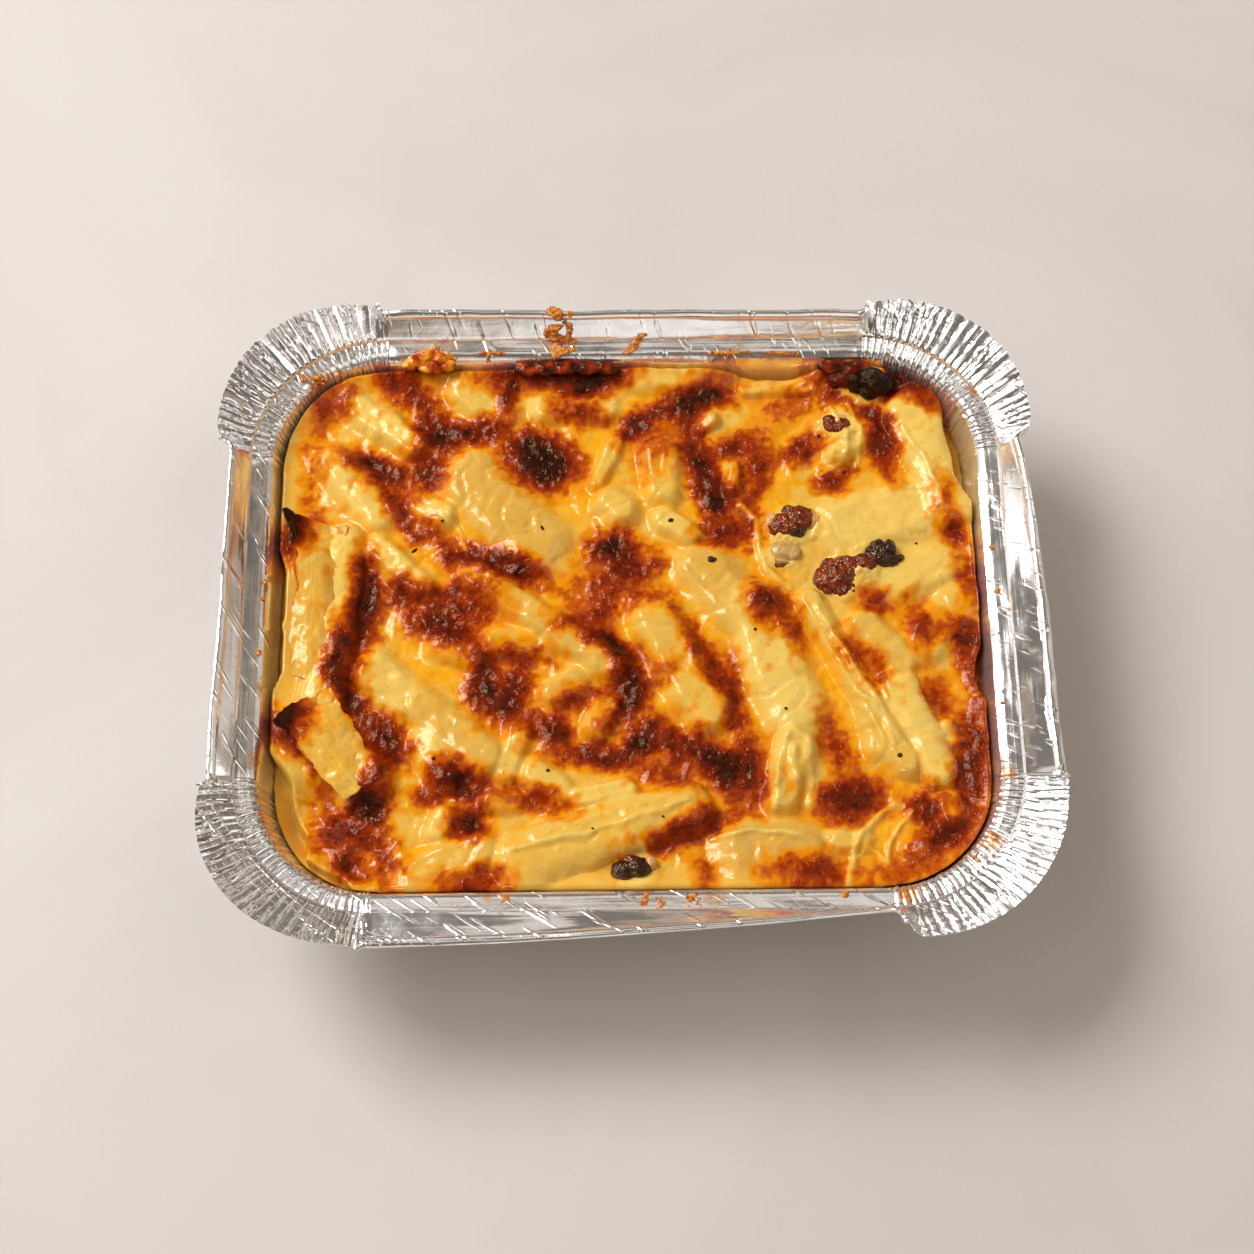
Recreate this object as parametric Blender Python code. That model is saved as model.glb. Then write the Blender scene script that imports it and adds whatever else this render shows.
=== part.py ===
# Foil tray of baked pasta
#
# A takeaway container pressed from thin foil, with pleated corners and a rolled hem along
# its straight sides, filled with a pasta bake under melted, browned cheese. Bits of fried
# meat and one pale bit of mushroom sit in the cheese.
# Metres, +Z up, the long side along X. Lengths below are in millimetres until mesh_object.
import math
import random

import bmesh
import bpy
from mathutils import Matrix, Vector, noise

MM = 0.001

# Foil container: driving sizes. A ring is a rounded rectangle: a radius about four corner centres.
CORNER_CENTRE_X = 61.0
CORNER_CENTRE_Y = 43.0
FOIL_HALF = 0.2
FLOOR_RADIUS = 16.0
FOOT_RADIUS = 20.6
FOOT_HEIGHT = 3.2
WALL_TOP_RADIUS = 29.6
WALL_TOP_HEIGHT = 38.6
LIP_RADIUS = 30.8
LIP_HEIGHT = 39.5
SHELF_RADIUS = 34.6
SHELF_HEIGHT = 40.2
RIDGE_RADIUS = 35.1
RIDGE_HEIGHT = 41.2
HEM_WIDTH = 2.4
HEM_HALF = 0.6
HEM_ROUND = 0.25
CORNER_FLANGE_LENGTH = 12.4
CORNER_FAN = 0.9
CORNER_TILT = 22.0
CORNER_BLEND = 0.10
PLEATS_PER_CORNER = 14
PLEAT_WALL = 0.5
PLEAT_SHELF = 0.35
PLEAT_FLANGE = 0.55
SCALLOP = 0.8
STRAIGHT_STEPS = 5
RIM_WAVE = 0.7

# Tilt of the rim's flange above level, in degrees, and its width inside the hem, at the start
# and end of each straight side, going round from the right side's near end. The rim has been
# pinched up at some ends and pressed flat at others.
SIDE_TILTS = {"right": (5.0, 68.0), "far": (68.0, 46.0), "left": (56.0, 22.0), "near": (3.0, 70.0)}
SIDE_FLANGES = {"right": (7.0, 5.1), "far": (5.1, 5.1), "left": (5.1, 3.6), "near": (6.2, 5.1)}
SIDE_ORDER = ("right", "far", "left", "near")

# Pasta bake
FOOD_GAP = 0.35
CELL_GAP = 0.5
BED_EDGE_HEIGHT = 33.4
BED_DOME = 2.2
BED_HALF_X = 92.0
BED_HALF_Y = 76.0
EDGE_DROP = 2.6
EDGE_DROP_WIDTH = 3.0
GRID_X = 56
GRID_Y = 44
LUMP_SIZE = 9.0
LUMP_HEIGHT = 0.9
MELT = 0.5

# Pasta pieces that show: middle x, middle y, length, width, heading in degrees, rise above the bed
PASTA_PIECES = (
    (-77.0, 1.0, 47.0, 12.5, 91.0, 4.6),
    (-71.0, -34.5, 36.0, 19.0, -44.0, 3.8),
    (-66.0, 56.0, 34.0, 14.0, -33.0, 3.4),
    (-72.0, 34.0, 30.0, 17.0, -48.0, 3.0),
    (-53.0, 29.0, 16.0, 11.0, -35.0, 1.8),
    (-39.0, 65.0, 24.0, 13.0, -12.0, 2.6),
    (-30.0, 30.0, 40.0, 21.0, -44.0, 3.2),
    (-12.0, 57.0, 26.0, 14.0, -30.0, 3.6),
    (9.0, 64.0, 30.0, 13.0, -12.0, 3.2),
    (30.0, 66.5, 40.0, 8.0, -3.0, 1.4),
    (10.0, 43.0, 32.0, 14.0, -80.0, 2.8),
    (38.0, 54.0, 36.0, 10.0, 42.0, 3.0),
    (28.0, 42.0, 30.0, 9.0, 48.0, 3.6),
    (30.0, 37.0, 14.0, 5.0, -85.0, 2.6),
    (-56.0, 13.0, 26.0, 12.0, -45.0, 3.0),
    (-22.0, -1.0, 52.0, 10.0, -37.0, 4.0),
    (0.0, 16.0, 34.0, 13.0, 54.0, 4.2),
    (-57.0, -21.0, 40.0, 15.0, -43.0, 2.6),
    (-29.0, -34.0, 26.0, 9.0, -72.0, 3.2),
    (27.0, -3.0, 50.0, 16.0, -61.0, 3.6),
    (11.0, -14.0, 30.0, 12.0, -55.0, 3.4),
    (45.0, -7.0, 46.0, 9.0, -73.0, 4.0),
    (58.0, -22.0, 46.0, 12.0, -66.0, 4.4),
    (64.0, -8.0, 34.0, 13.0, -58.0, 3.4),
    (70.0, -34.0, 32.0, 12.0, -82.0, 3.6),
    (73.0, 44.0, 50.0, 20.0, -66.0, 4.2),
    (59.0, 32.0, 40.0, 22.0, -12.0, 3.0),
    (78.0, 14.0, 34.0, 16.0, -80.0, 3.0),
    (39.0, -40.0, 22.0, 10.0, 74.0, 3.8),
    (-6.0, -56.0, 58.0, 15.0, 19.0, 5.0),
    (-47.0, -62.0, 28.0, 11.0, 17.0, 3.4),
    (30.0, -60.0, 36.0, 20.0, 32.0, 4.0),
    (74.0, -52.0, 20.0, 12.0, -60.0, 2.6),
    (-5.0, -34.0, 34.0, 13.0, 20.0, 3.0),
    (57.0, -62.0, 22.0, 8.0, 35.0, 2.4),
)

# Hollows along the wall where the bake has shrunk away: middle x, middle y, radius, depth
WALL_HOLLOWS = (
    (-81.0, -50.0, 15.0, 9.0),
    (88.0, 46.0, 11.0, 5.0),
    (44.0, 74.0, 15.0, 3.0),
    (-88.0, 28.0, 9.0, 4.0),
)

# Bits that sit in the cheese: name, x, y, height of the middle, half length, half width,
# half height, heading in degrees, colour, number of times the round start is divided
BITS = (
    ("meat_bit_far", 42.7, 26.9, 38.3, 6.4, 4.2, 2.8, 8.0, (0.13, 0.025, 0.012), 2),
    ("meat_bit_long", 56.6, 10.6, 38.2, 8.2, 5.4, 2.8, 33.0, (0.20, 0.045, 0.018), 3),
    ("meat_bit_near", 1.5, -66.4, 34.6, 6.2, 3.6, 3.2, 22.0, (0.05, 0.012, 0.008), 2),
    ("meat_bit_covered", 55.4, 54.2, 38.2, 5.0, 4.3, 2.6, 40.0, (0.16, 0.035, 0.016), 2),
    ("charred_bit", 63.6, 66.2, 36.6, 6.8, 4.4, 4.0, -14.0, (0.03, 0.012, 0.009), 2),
    ("mushroom_bit", 39.0, 16.4, 37.6, 4.4, 3.6, 2.6, -30.0, (0.55, 0.36, 0.14), 2),
)
BURNT_HEAD = {"meat_bit_long": (9.6, 3.8, 0.9)}
BIT_ROUGHNESS = 0.16
POCKET_GAP = 0.3


def smoothstep(low, high, value):
    t = min(1.0, max(0.0, (value - low) / (high - low)))
    return t * t * (3.0 - 2.0 * t)


def material(name, colour, roughness, metallic=0.0):
    new = bpy.data.materials.new(name)
    new.use_nodes = True
    shader = new.node_tree.nodes["Principled BSDF"]
    shader.inputs["Base Color"].default_value = (*colour, 1.0)
    shader.inputs["Roughness"].default_value = roughness
    shader.inputs["Metallic"].default_value = metallic
    return new


def mesh_object(name, mesh_data, finish, sharp_degrees=None):
    """Turn a bmesh in millimetres into an object in metres, with outward faces."""
    bmesh.ops.recalc_face_normals(mesh_data, faces=mesh_data.faces[:])
    bmesh.ops.scale(mesh_data, vec=(MM, MM, MM), verts=mesh_data.verts[:])
    mesh = bpy.data.meshes.new(name)
    mesh_data.to_mesh(mesh)
    mesh_data.free()
    mesh.materials.append(finish)
    if sharp_degrees is not None:
        mesh.shade_smooth()
        mesh.set_sharp_from_angle(angle=math.radians(sharp_degrees))
    new = bpy.data.objects.new(name, mesh)
    bpy.context.scene.collection.objects.link(new)
    return new


class Station:
    """One place on the way round the tray: a corner centre or side point and a way out."""

    def __init__(self, x, y, angle, side, along, corner, pleat):
        self.x = x
        self.y = y
        self.out_x = math.cos(angle)
        self.out_y = math.sin(angle)
        self.side = side
        self.along = along
        self.corner = corner
        self.pleat = pleat

    def point(self, radius, height):
        return Vector((self.x + radius * self.out_x, self.y + radius * self.out_y, height))


def corner_centre(index):
    """Corner centres, going round anticlockwise from the far right."""
    sign_x = (1, -1, -1, 1)[index]
    sign_y = (1, 1, -1, -1)[index]
    return sign_x * CORNER_CENTRE_X, sign_y * CORNER_CENTRE_Y


def tray_stations(chance):
    """Stations round the rim: a few along each straight side, two for each pleat of a corner."""
    stations = []
    for index, side in enumerate(SIDE_ORDER):
        angle = index * math.pi / 2
        start = corner_centre(index - 1)
        end = corner_centre(index)
        for step in range(STRAIGHT_STEPS):
            along = step / (STRAIGHT_STEPS - 1)
            x = start[0] + (end[0] - start[0]) * along
            y = start[1] + (end[1] - start[1]) * along
            stations.append(Station(x, y, angle, index, along, 0.0, 0.0))
        count = 2 * PLEATS_PER_CORNER
        for step in range(count):
            along = (step + 0.6) / (count + 0.2)
            wave = (1.0 if step % 2 else -1.0) * chance.uniform(0.65, 1.25)
            stations.append(Station(*end, angle + along * math.pi / 2, index, along, 1.0, wave))
    return stations


def side_flange(station):
    """Width of the flange between the ridge and the hem at a station of a straight side."""
    start, end = SIDE_FLANGES[SIDE_ORDER[station.side]]
    return start + (end - start) * station.along


def corner_flange(station):
    """Length of the flange in a corner, where the hem has opened out into a fan."""
    leaving = SIDE_FLANGES[SIDE_ORDER[station.side]][1]
    arriving = SIDE_FLANGES[SIDE_ORDER[(station.side + 1) % 4]][0]
    ends = leaving + (arriving - leaving) * station.along + HEM_WIDTH
    fan = math.sin(math.pi * station.along) ** CORNER_FAN
    return ends + (CORNER_FLANGE_LENGTH - ends) * fan + SCALLOP * station.pleat


def rim_tilt(station):
    """Tilt of the flange above level, in radians."""
    side = SIDE_ORDER[station.side]
    start, end = SIDE_TILTS[side]
    if station.corner == 0.0:
        return math.radians(start + (end - start) * station.along)
    following = SIDE_TILTS[SIDE_ORDER[(station.side + 1) % 4]][0]
    leaving = smoothstep(0.0, CORNER_BLEND, station.along)
    arriving = smoothstep(1.0 - CORNER_BLEND, 1.0, station.along)
    tilt = end + (CORNER_TILT - end) * leaving
    tilt += (following - CORNER_TILT) * arriving
    return math.radians(tilt)


def tray_profile(station):
    """Middle line of the foil from the floor out to the rim's edge: radius, height, half
    thickness, pleat depth."""
    tilt = rim_tilt(station)
    across = math.cos(tilt)
    rise = math.sin(tilt)
    rows = [
        (FLOOR_RADIUS, FOIL_HALF, FOIL_HALF, 0.0),
        (FOOT_RADIUS, FOOT_HEIGHT, FOIL_HALF, 0.25 * PLEAT_WALL),
        ((FOOT_RADIUS + WALL_TOP_RADIUS) / 2, (FOOT_HEIGHT + WALL_TOP_HEIGHT) / 2, FOIL_HALF, PLEAT_WALL),
        (WALL_TOP_RADIUS, WALL_TOP_HEIGHT, FOIL_HALF, PLEAT_WALL),
        (LIP_RADIUS, LIP_HEIGHT, FOIL_HALF, PLEAT_WALL),
        (SHELF_RADIUS, SHELF_HEIGHT, FOIL_HALF, PLEAT_SHELF),
        (RIDGE_RADIUS, RIDGE_HEIGHT, FOIL_HALF, PLEAT_SHELF),
    ]
    if station.corner:
        edge = corner_flange(station)
        steps = ((0.55, FOIL_HALF), (0.65, FOIL_HALF), (0.92, FOIL_HALF), (1.0, FOIL_HALF))
        lengths = [(edge * share, half) for share, half in steps]
    else:
        flat = side_flange(station)
        lengths = [
            (flat, FOIL_HALF),
            (flat + HEM_ROUND, HEM_HALF),
            (flat + HEM_WIDTH - HEM_ROUND, HEM_HALF),
            (flat + HEM_WIDTH, FOIL_HALF),
        ]
    wave = RIM_WAVE * math.sin(9.0 * station.along + 2.0 * station.side) * (1.0 - station.corner)
    for length, half in lengths:
        lift = wave * length / CORNER_FLANGE_LENGTH
        radius = RIDGE_RADIUS + length * across - lift * rise
        height = RIDGE_HEIGHT + length * rise + lift * across
        rows.append((radius, height, half, PLEAT_FLANGE * length / CORNER_FLANGE_LENGTH + PLEAT_SHELF))
    return rows


def profile_normals(rows):
    """Unit normals of the middle line, pointing into the tray and up."""
    normals = []
    for index in range(len(rows)):
        before = rows[max(0, index - 1)]
        after = rows[min(len(rows) - 1, index + 1)]
        step_r = after[0] - before[0]
        step_z = after[1] - before[1]
        length = math.hypot(step_r, step_z)
        normals.append((-step_z / length, step_r / length))
    normals[0] = (0.0, 1.0)
    return normals


def foil_tray(finish):
    """The container: one closed sheet of foil, inside and outside face, bent along its profile."""
    chance = random.Random(11)
    stations = tray_stations(chance)
    mesh_data = bmesh.new()
    rings_inside = []
    rings_outside = []
    for station in stations:
        rows = tray_profile(station)
        normals = profile_normals(rows)
        inside = []
        outside = []
        for (radius, height, half, depth), (normal_r, normal_z) in zip(rows, normals):
            bend = depth * station.pleat * station.corner
            for side, column in ((1.0, inside), (-1.0, outside)):
                offset = bend + side * half
                column.append(mesh_data.verts.new(
                    station.point(radius + offset * normal_r, height + offset * normal_z)))
        rings_inside.append(inside)
        rings_outside.append(outside)
    count = len(stations)
    row_count = len(rings_inside[0])
    for index in range(count):
        following = (index + 1) % count
        for row in range(row_count - 1):
            mesh_data.faces.new((rings_inside[index][row], rings_inside[following][row],
                                 rings_inside[following][row + 1], rings_inside[index][row + 1]))
            mesh_data.faces.new((rings_outside[index][row], rings_outside[index][row + 1],
                                 rings_outside[following][row + 1], rings_outside[following][row]))
        mesh_data.faces.new((rings_inside[index][-1], rings_inside[following][-1],
                             rings_outside[following][-1], rings_outside[index][-1]))
    mesh_data.faces.new([column[0] for column in rings_inside])
    mesh_data.faces.new([column[0] for column in reversed(rings_outside)])
    return mesh_object("foil_tray", mesh_data, finish, 28.0)


def wall_inside_radius(height):
    """Radius of the wall's inside face at a height, past the deepest pleat."""
    slope = (WALL_TOP_RADIUS - FOOT_RADIUS) / (WALL_TOP_HEIGHT - FOOT_HEIGHT)
    middle = FOOT_RADIUS + (height - FOOT_HEIGHT) * slope
    return middle - FOIL_HALF - 1.25 * PLEAT_WALL


def piece_rise(piece, x, y):
    """Height that one pasta piece stands above the bed at a point."""
    middle_x, middle_y, length, width, heading, rise = piece
    turn = math.radians(heading)
    along = (x - middle_x) * math.cos(turn) + (y - middle_y) * math.sin(turn)
    across = -(x - middle_x) * math.sin(turn) + (y - middle_y) * math.cos(turn)
    past_end = max(0.0, abs(along) - (length - width) / 2) / (width / 2)
    away = math.hypot(past_end, across / (width / 2))
    if away >= 1.0:
        return 0.0
    return rise * (1.0 - away ** 2.6) ** 0.6


def bed_height(x, y):
    """The cheese between the pasta pieces: a low dome with soft lumps."""
    dome = (1.0 - (x / BED_HALF_X) ** 2) * (1.0 - (y / BED_HALF_Y) ** 2)
    lump = noise.noise(Vector((x / LUMP_SIZE, y / LUMP_SIZE, 4.0)))
    return BED_EDGE_HEIGHT + BED_DOME * max(0.0, dome) + LUMP_HEIGHT * lump


def edge_distance(x, y):
    """Distance in from the bake's outer edge, on the rounded rectangle."""
    out_x = max(0.0, abs(x) - CORNER_CENTRE_X)
    out_y = max(0.0, abs(y) - CORNER_CENTRE_Y)
    return wall_inside_radius(BED_EDGE_HEIGHT) - math.hypot(out_x, out_y)


def food_height(x, y):
    """Top of the bake: bed, pasta pieces melted into it, hollows and the drop at the wall."""
    rises = [piece_rise(piece, x, y) for piece in PASTA_PIECES]
    melted = MELT * math.log(1.0 + sum(math.exp(rise / MELT) - 1.0 for rise in rises))
    height = bed_height(x, y) + melted
    for hollow_x, hollow_y, radius, depth in WALL_HOLLOWS:
        away = math.hypot(x - hollow_x, y - hollow_y)
        height -= depth * (1.0 - smoothstep(0.3 * radius, radius, away))
    return height - EDGE_DROP * math.exp(-max(0.0, edge_distance(x, y)) / EDGE_DROP_WIDTH)


def held_in(x, y, height):
    """A point of the bake's top, drawn in where the wall comes closer lower down."""
    out_x = max(0.0, abs(x) - CORNER_CENTRE_X)
    out_y = max(0.0, abs(y) - CORNER_CENTRE_Y)
    out = math.hypot(out_x, out_y)
    most = wall_inside_radius(height) - FOOD_GAP - CELL_GAP
    share = min(1.0, most / out) if out else 1.0
    near_x = x - math.copysign(out_x * (1.0 - share), x)
    near_y = y - math.copysign(out_y * (1.0 - share), y)
    return Vector((near_x, near_y, height))


def food_side(side, steps):
    """Stations of the bake's outline along one side, from the middle of one corner to the next."""
    start = corner_centre(side - 1)
    end = corner_centre(side)
    angle = side * math.pi / 2
    arc = wall_inside_radius(BED_EDGE_HEIGHT) * math.pi / 4
    straight = math.hypot(end[0] - start[0], end[1] - start[1])
    whole = straight + 2 * arc
    stations = []
    for step in range(steps + 1):
        reach = whole * step / steps
        if reach < arc:
            turn = angle - math.pi / 4 * (1.0 - reach / arc)
            stations.append(Station(*start, turn, side, 0.0, 1.0, 0.0))
        elif reach > arc + straight:
            turn = angle + math.pi / 4 * (reach - arc - straight) / arc
            stations.append(Station(*end, turn, side, 1.0, 1.0, 0.0))
        else:
            share = (reach - arc) / straight
            x = start[0] + (end[0] - start[0]) * share
            y = start[1] + (end[1] - start[1]) * share
            stations.append(Station(x, y, angle, side, share, 0.0, 0.0))
    return stations


def pasta_bake(finish):
    """The bake: an uneven top on a body that fills the container down to its floor."""
    right = food_side(0, GRID_Y)
    far = list(reversed(food_side(1, GRID_X)))
    left = list(reversed(food_side(2, GRID_Y)))
    near = food_side(3, GRID_X)
    radius = wall_inside_radius(BED_EDGE_HEIGHT) - FOOD_GAP

    def flat(station):
        point = station.point(radius, 0.0)
        return Vector((point.x, point.y))

    mesh_data = bmesh.new()
    grid = []
    for row in range(GRID_Y + 1):
        v = row / GRID_Y
        line = []
        for column in range(GRID_X + 1):
            u = column / GRID_X
            between = flat(near[column]) * (1 - v) + flat(far[column]) * v
            between += flat(left[row]) * (1 - u) + flat(right[row]) * u
            between -= flat(near[0]) * (1 - u) * (1 - v) + flat(near[-1]) * u * (1 - v)
            between -= flat(far[0]) * (1 - u) * v + flat(far[-1]) * u * v
            height = food_height(between.x, between.y)
            line.append(mesh_data.verts.new(held_in(between.x, between.y, height)))
        grid.append(line)
    for row in range(GRID_Y):
        for column in range(GRID_X):
            mesh_data.faces.new((grid[row][column], grid[row][column + 1],
                                 grid[row + 1][column + 1], grid[row + 1][column]))
    edge = [(grid[0][c], near[c]) for c in range(GRID_X)]
    edge += [(grid[r][-1], right[r]) for r in range(GRID_Y)]
    edge += [(grid[-1][c], far[c]) for c in range(GRID_X, 0, -1)]
    edge += [(grid[r][0], left[r]) for r in range(GRID_Y, 0, -1)]
    for vert, station in edge:
        vert.co = station.point(wall_inside_radius(vert.co.z) - FOOD_GAP, vert.co.z)
    upper = [vert for vert, _ in edge]
    floor = 2 * FOIL_HALF + FOOD_GAP
    foot = FOOT_HEIGHT + FOOD_GAP
    lower_rings = [((foot + BED_EDGE_HEIGHT) / 2, None), (foot, None), (floor, FLOOR_RADIUS)]
    for height, own_radius in lower_rings:
        reach = own_radius or wall_inside_radius(height) - FOOD_GAP
        ring = [mesh_data.verts.new(station.point(reach, height)) for _, station in edge]
        for index in range(len(ring)):
            following = (index + 1) % len(ring)
            mesh_data.faces.new((upper[index], ring[index], ring[following], upper[following]))
        upper = ring
    mesh_data.faces.new(upper)
    return mesh_object("pasta_bake", mesh_data, finish, 60.0)


def bit_mesh(spec, swell=0.0):
    """A lump of meat or mushroom: a divided ball, stretched, turned and roughened."""
    name, x, y, z, half_length, half_width, half_height, heading, _, divisions = spec
    mesh_data = bmesh.new()
    bmesh.ops.create_icosphere(mesh_data, subdivisions=divisions, radius=1.0)
    for vert in mesh_data.verts:
        way = vert.co.copy()
        rough = 1.0 + BIT_ROUGHNESS * noise.noise(way * 1.6 + Vector((x, y, z)))
        vert.co = Vector((way.x * half_length, way.y * half_width, way.z * half_height)) * rough
        if name in BURNT_HEAD:
            reach, head_half, lift = BURNT_HEAD[name]
            pull = smoothstep(0.35, 1.0, way.x)
            vert.co.x += pull * (reach - half_length * 0.35)
            vert.co.y *= 1.0 - pull * (1.0 - head_half / half_width)
            vert.co.z += pull * lift
    if swell:
        mesh_data.normal_update()
        for vert in mesh_data.verts:
            vert.co += vert.normal * swell
    turn = Matrix.Rotation(math.radians(heading), 4, "Z")
    bmesh.ops.transform(mesh_data, matrix=Matrix.Translation((x, y, z)) @ turn, verts=mesh_data.verts[:])
    return mesh_data


def cut_pocket(food, spec):
    """Cut the seat that one bit sits in, a little larger than the bit."""
    guide = mesh_object("pocket_guide", bit_mesh(spec, POCKET_GAP), food.data.materials[0])
    guide.hide_render = True
    guide.display_type = "WIRE"
    cut = food.modifiers.new("pocket", "BOOLEAN")
    cut.operation = "DIFFERENCE"
    cut.object = guide
    cut.solver = "EXACT"
    depsgraph = bpy.context.evaluated_depsgraph_get()
    result = bpy.data.meshes.new_from_object(food.evaluated_get(depsgraph))
    food.modifiers.clear()
    food.data = result
    bpy.data.objects.remove(guide, do_unlink=True)


def build():
    for old in list(bpy.data.objects):
        bpy.data.objects.remove(old, do_unlink=True)
    foil = material("foil", (0.80, 0.80, 0.81), 0.24, 1.0)
    bake = material("browned_cheese", (0.72, 0.42, 0.10), 0.42)
    tray = foil_tray(foil)
    food = pasta_bake(bake)
    bits = []
    for spec in BITS:
        finish = material(spec[0] + "_finish", spec[8], 0.35)
        bits.append(mesh_object(spec[0], bit_mesh(spec), finish, 50.0))
        cut_pocket(food, spec)
    corners = [vert.co for vert in tray.data.vertices]
    shift_x = -(min(c.x for c in corners) + max(c.x for c in corners)) / 2
    shift_y = -(min(c.y for c in corners) + max(c.y for c in corners)) / 2
    for piece in [tray, food] + bits:
        piece.location = (shift_x, shift_y, 0.0)


build()
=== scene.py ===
# %% [markdown]
# # A foil tray of baked pasta
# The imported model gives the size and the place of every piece. This scene dresses it: a crinkled
# foil container, a pasta bake with a browned cheese top, bits of fried meat, and a soft studio.
# Lengths are in millimetres on the tray, whose middle is a little off the model's, and become
# metres only when a mesh is made.

# %% The frame, the units and a first measurement
import math
import random

import bpy
import numpy as np
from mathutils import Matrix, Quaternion, Vector


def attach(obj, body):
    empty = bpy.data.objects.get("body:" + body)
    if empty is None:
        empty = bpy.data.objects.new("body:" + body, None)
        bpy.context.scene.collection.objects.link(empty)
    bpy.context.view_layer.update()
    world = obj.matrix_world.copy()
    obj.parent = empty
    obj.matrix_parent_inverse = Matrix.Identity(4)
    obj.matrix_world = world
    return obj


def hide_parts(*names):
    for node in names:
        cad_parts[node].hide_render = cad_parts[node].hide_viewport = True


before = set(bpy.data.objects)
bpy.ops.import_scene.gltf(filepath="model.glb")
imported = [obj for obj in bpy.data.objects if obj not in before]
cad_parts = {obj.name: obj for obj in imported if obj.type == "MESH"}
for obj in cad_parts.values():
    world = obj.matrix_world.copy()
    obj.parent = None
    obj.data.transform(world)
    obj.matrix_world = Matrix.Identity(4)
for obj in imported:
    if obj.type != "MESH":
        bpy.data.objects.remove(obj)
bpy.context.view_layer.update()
MM = 0.001
TRAY_MIDDLE = (-0.836, 0.579)


def clear_selection():
    """Leave edit mode and let go of everything, so that an operator acts on the new piece alone."""
    if bpy.context.object and bpy.context.object.mode == "EDIT":
        bpy.ops.object.mode_set(mode="OBJECT")
    bpy.ops.object.select_all(action="DESELECT")


def numbers_of(piece, what):
    """A piece's raw coordinates ("co") or normals ("normal"), three numbers a point."""
    flat = np.empty(3 * len(piece.data.vertices))
    piece.data.vertices.foreach_get(what, flat)
    return flat.reshape(-1, 3)


def points_of(piece):
    """A piece's points in tray millimetres, as an array."""
    points = numbers_of(piece, "co") / MM
    points[:, 0] -= TRAY_MIDDLE[0]
    points[:, 1] -= TRAY_MIDDLE[1]
    return points


def place_points(piece, points):
    """Put tray millimetres back into the piece's mesh, in metres."""
    moved = points.copy()
    moved[:, 0] += TRAY_MIDDLE[0]
    moved[:, 1] += TRAY_MIDDLE[1]
    piece.data.vertices.foreach_set("co", (moved * MM).ravel())
    piece.data.update()


def on_tray(x, y, z):
    """A point of the tray in metres in the shared frame."""
    return Vector(((x + TRAY_MIDDLE[0]) * MM, (y + TRAY_MIDDLE[1]) * MM, z * MM))


CHANCE = np.random.default_rng(7)
SLOPES = CHANCE.normal(size=(256, 3))
SLOPES /= np.linalg.norm(SLOPES, axis=1)[:, None]
SHUFFLE = CHANCE.permutation(256)
CUBE = [(i, j, k) for i in (0, 1) for j in (0, 1) for k in (0, 1)]


def bumps(points, size, seed):
    """Smooth noise from about -1 to 1 at each point, with bumps this many millimetres wide."""
    at = points / size + np.array((17.13, 5.71, 9.37)) * seed
    cell = np.floor(at).astype(int)
    part = at - cell
    soft = part ** 3 * (part * (part * 6.0 - 15.0) + 10.0)
    total = np.zeros(len(points))
    for corner in CUBE:
        i, j, k = ((cell + corner) % 256).T
        slope = SLOPES[SHUFFLE[(SHUFFLE[(SHUFFLE[i] + j) % 256] + k) % 256]]
        weight = np.prod(np.where(corner, soft, 1.0 - soft), axis=1)
        total += weight * ((part - corner) * slope).sum(axis=1)
    return 1.5 * total


def ease(low, high, value):
    """Go smoothly from 0 at low to 1 at high. With low above high it goes down."""
    share = np.clip((value - low) / (high - low), 0.0, 1.0)
    return share * share * (3.0 - 2.0 * share)


# %% [markdown]
# The camera comes first. A long lens looks down at 66 degrees. Its place was worked out from the rim's
# corners.

# %% Camera
LENS = 68.6
CAMERA_PLACE = (-3.87, -242.4, 584.9)
CAMERA_AIM = (-0.07, -4.63, 40.0)
CAMERA_ROLL = math.radians(0.21)

bpy.ops.object.camera_add(location=on_tray(*CAMERA_PLACE))
camera = bpy.context.object
camera.name = "camera"
camera.data.lens = LENS
camera.data.sensor_width = 36.0
way = on_tray(*CAMERA_AIM) - on_tray(*CAMERA_PLACE)
level = way.to_track_quat("-Z", "Y")
camera.rotation_mode = "QUATERNION"
camera.rotation_quaternion = level @ Quaternion((0.0, 0.0, 1.0), CAMERA_ROLL)
bpy.context.scene.camera = camera
print("camera is", round(way.length, 3), "m away")

# %% [markdown]
# Shader sums read better as Python than as rows of nodes. A Wire is one output of a node, and
# plus, minus and times on it add the math node that does it. A Network holds the nodes: its node
# method adds any other node, and mix blends two colours. A Finish is the network of one material.


# %% A small language for materials
class Wire:
    """One output of a shader node, which Python's own signs work on."""

    def __init__(self, finish, socket):
        self.finish = finish
        self.socket = socket

    def sum(self, operation, first, second=0.0):
        return self.finish.node("ShaderNodeMath", {"operation": operation}, {0: first, 1: second})

    def __add__(self, other):
        return self.sum("ADD", self, other)

    def __radd__(self, other):
        return self.sum("ADD", other, self)

    def __sub__(self, other):
        return self.sum("SUBTRACT", self, other)

    def __rsub__(self, other):
        return self.sum("SUBTRACT", other, self)

    def __mul__(self, other):
        return self.sum("MULTIPLY", self, other)

    def __rmul__(self, other):
        return self.sum("MULTIPLY", other, self)

    def __abs__(self):
        return self.sum("ABSOLUTE", self)

    def eased(self, low, high, start=0.0, end=1.0):
        """Go smoothly from start to end while this value goes from low to high."""
        sockets = {"Value": self, "From Min": low, "From Max": high, "To Min": start, "To Max": end}
        return self.finish.node("ShaderNodeMapRange", {"interpolation_type": "SMOOTHSTEP"}, sockets)


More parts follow.
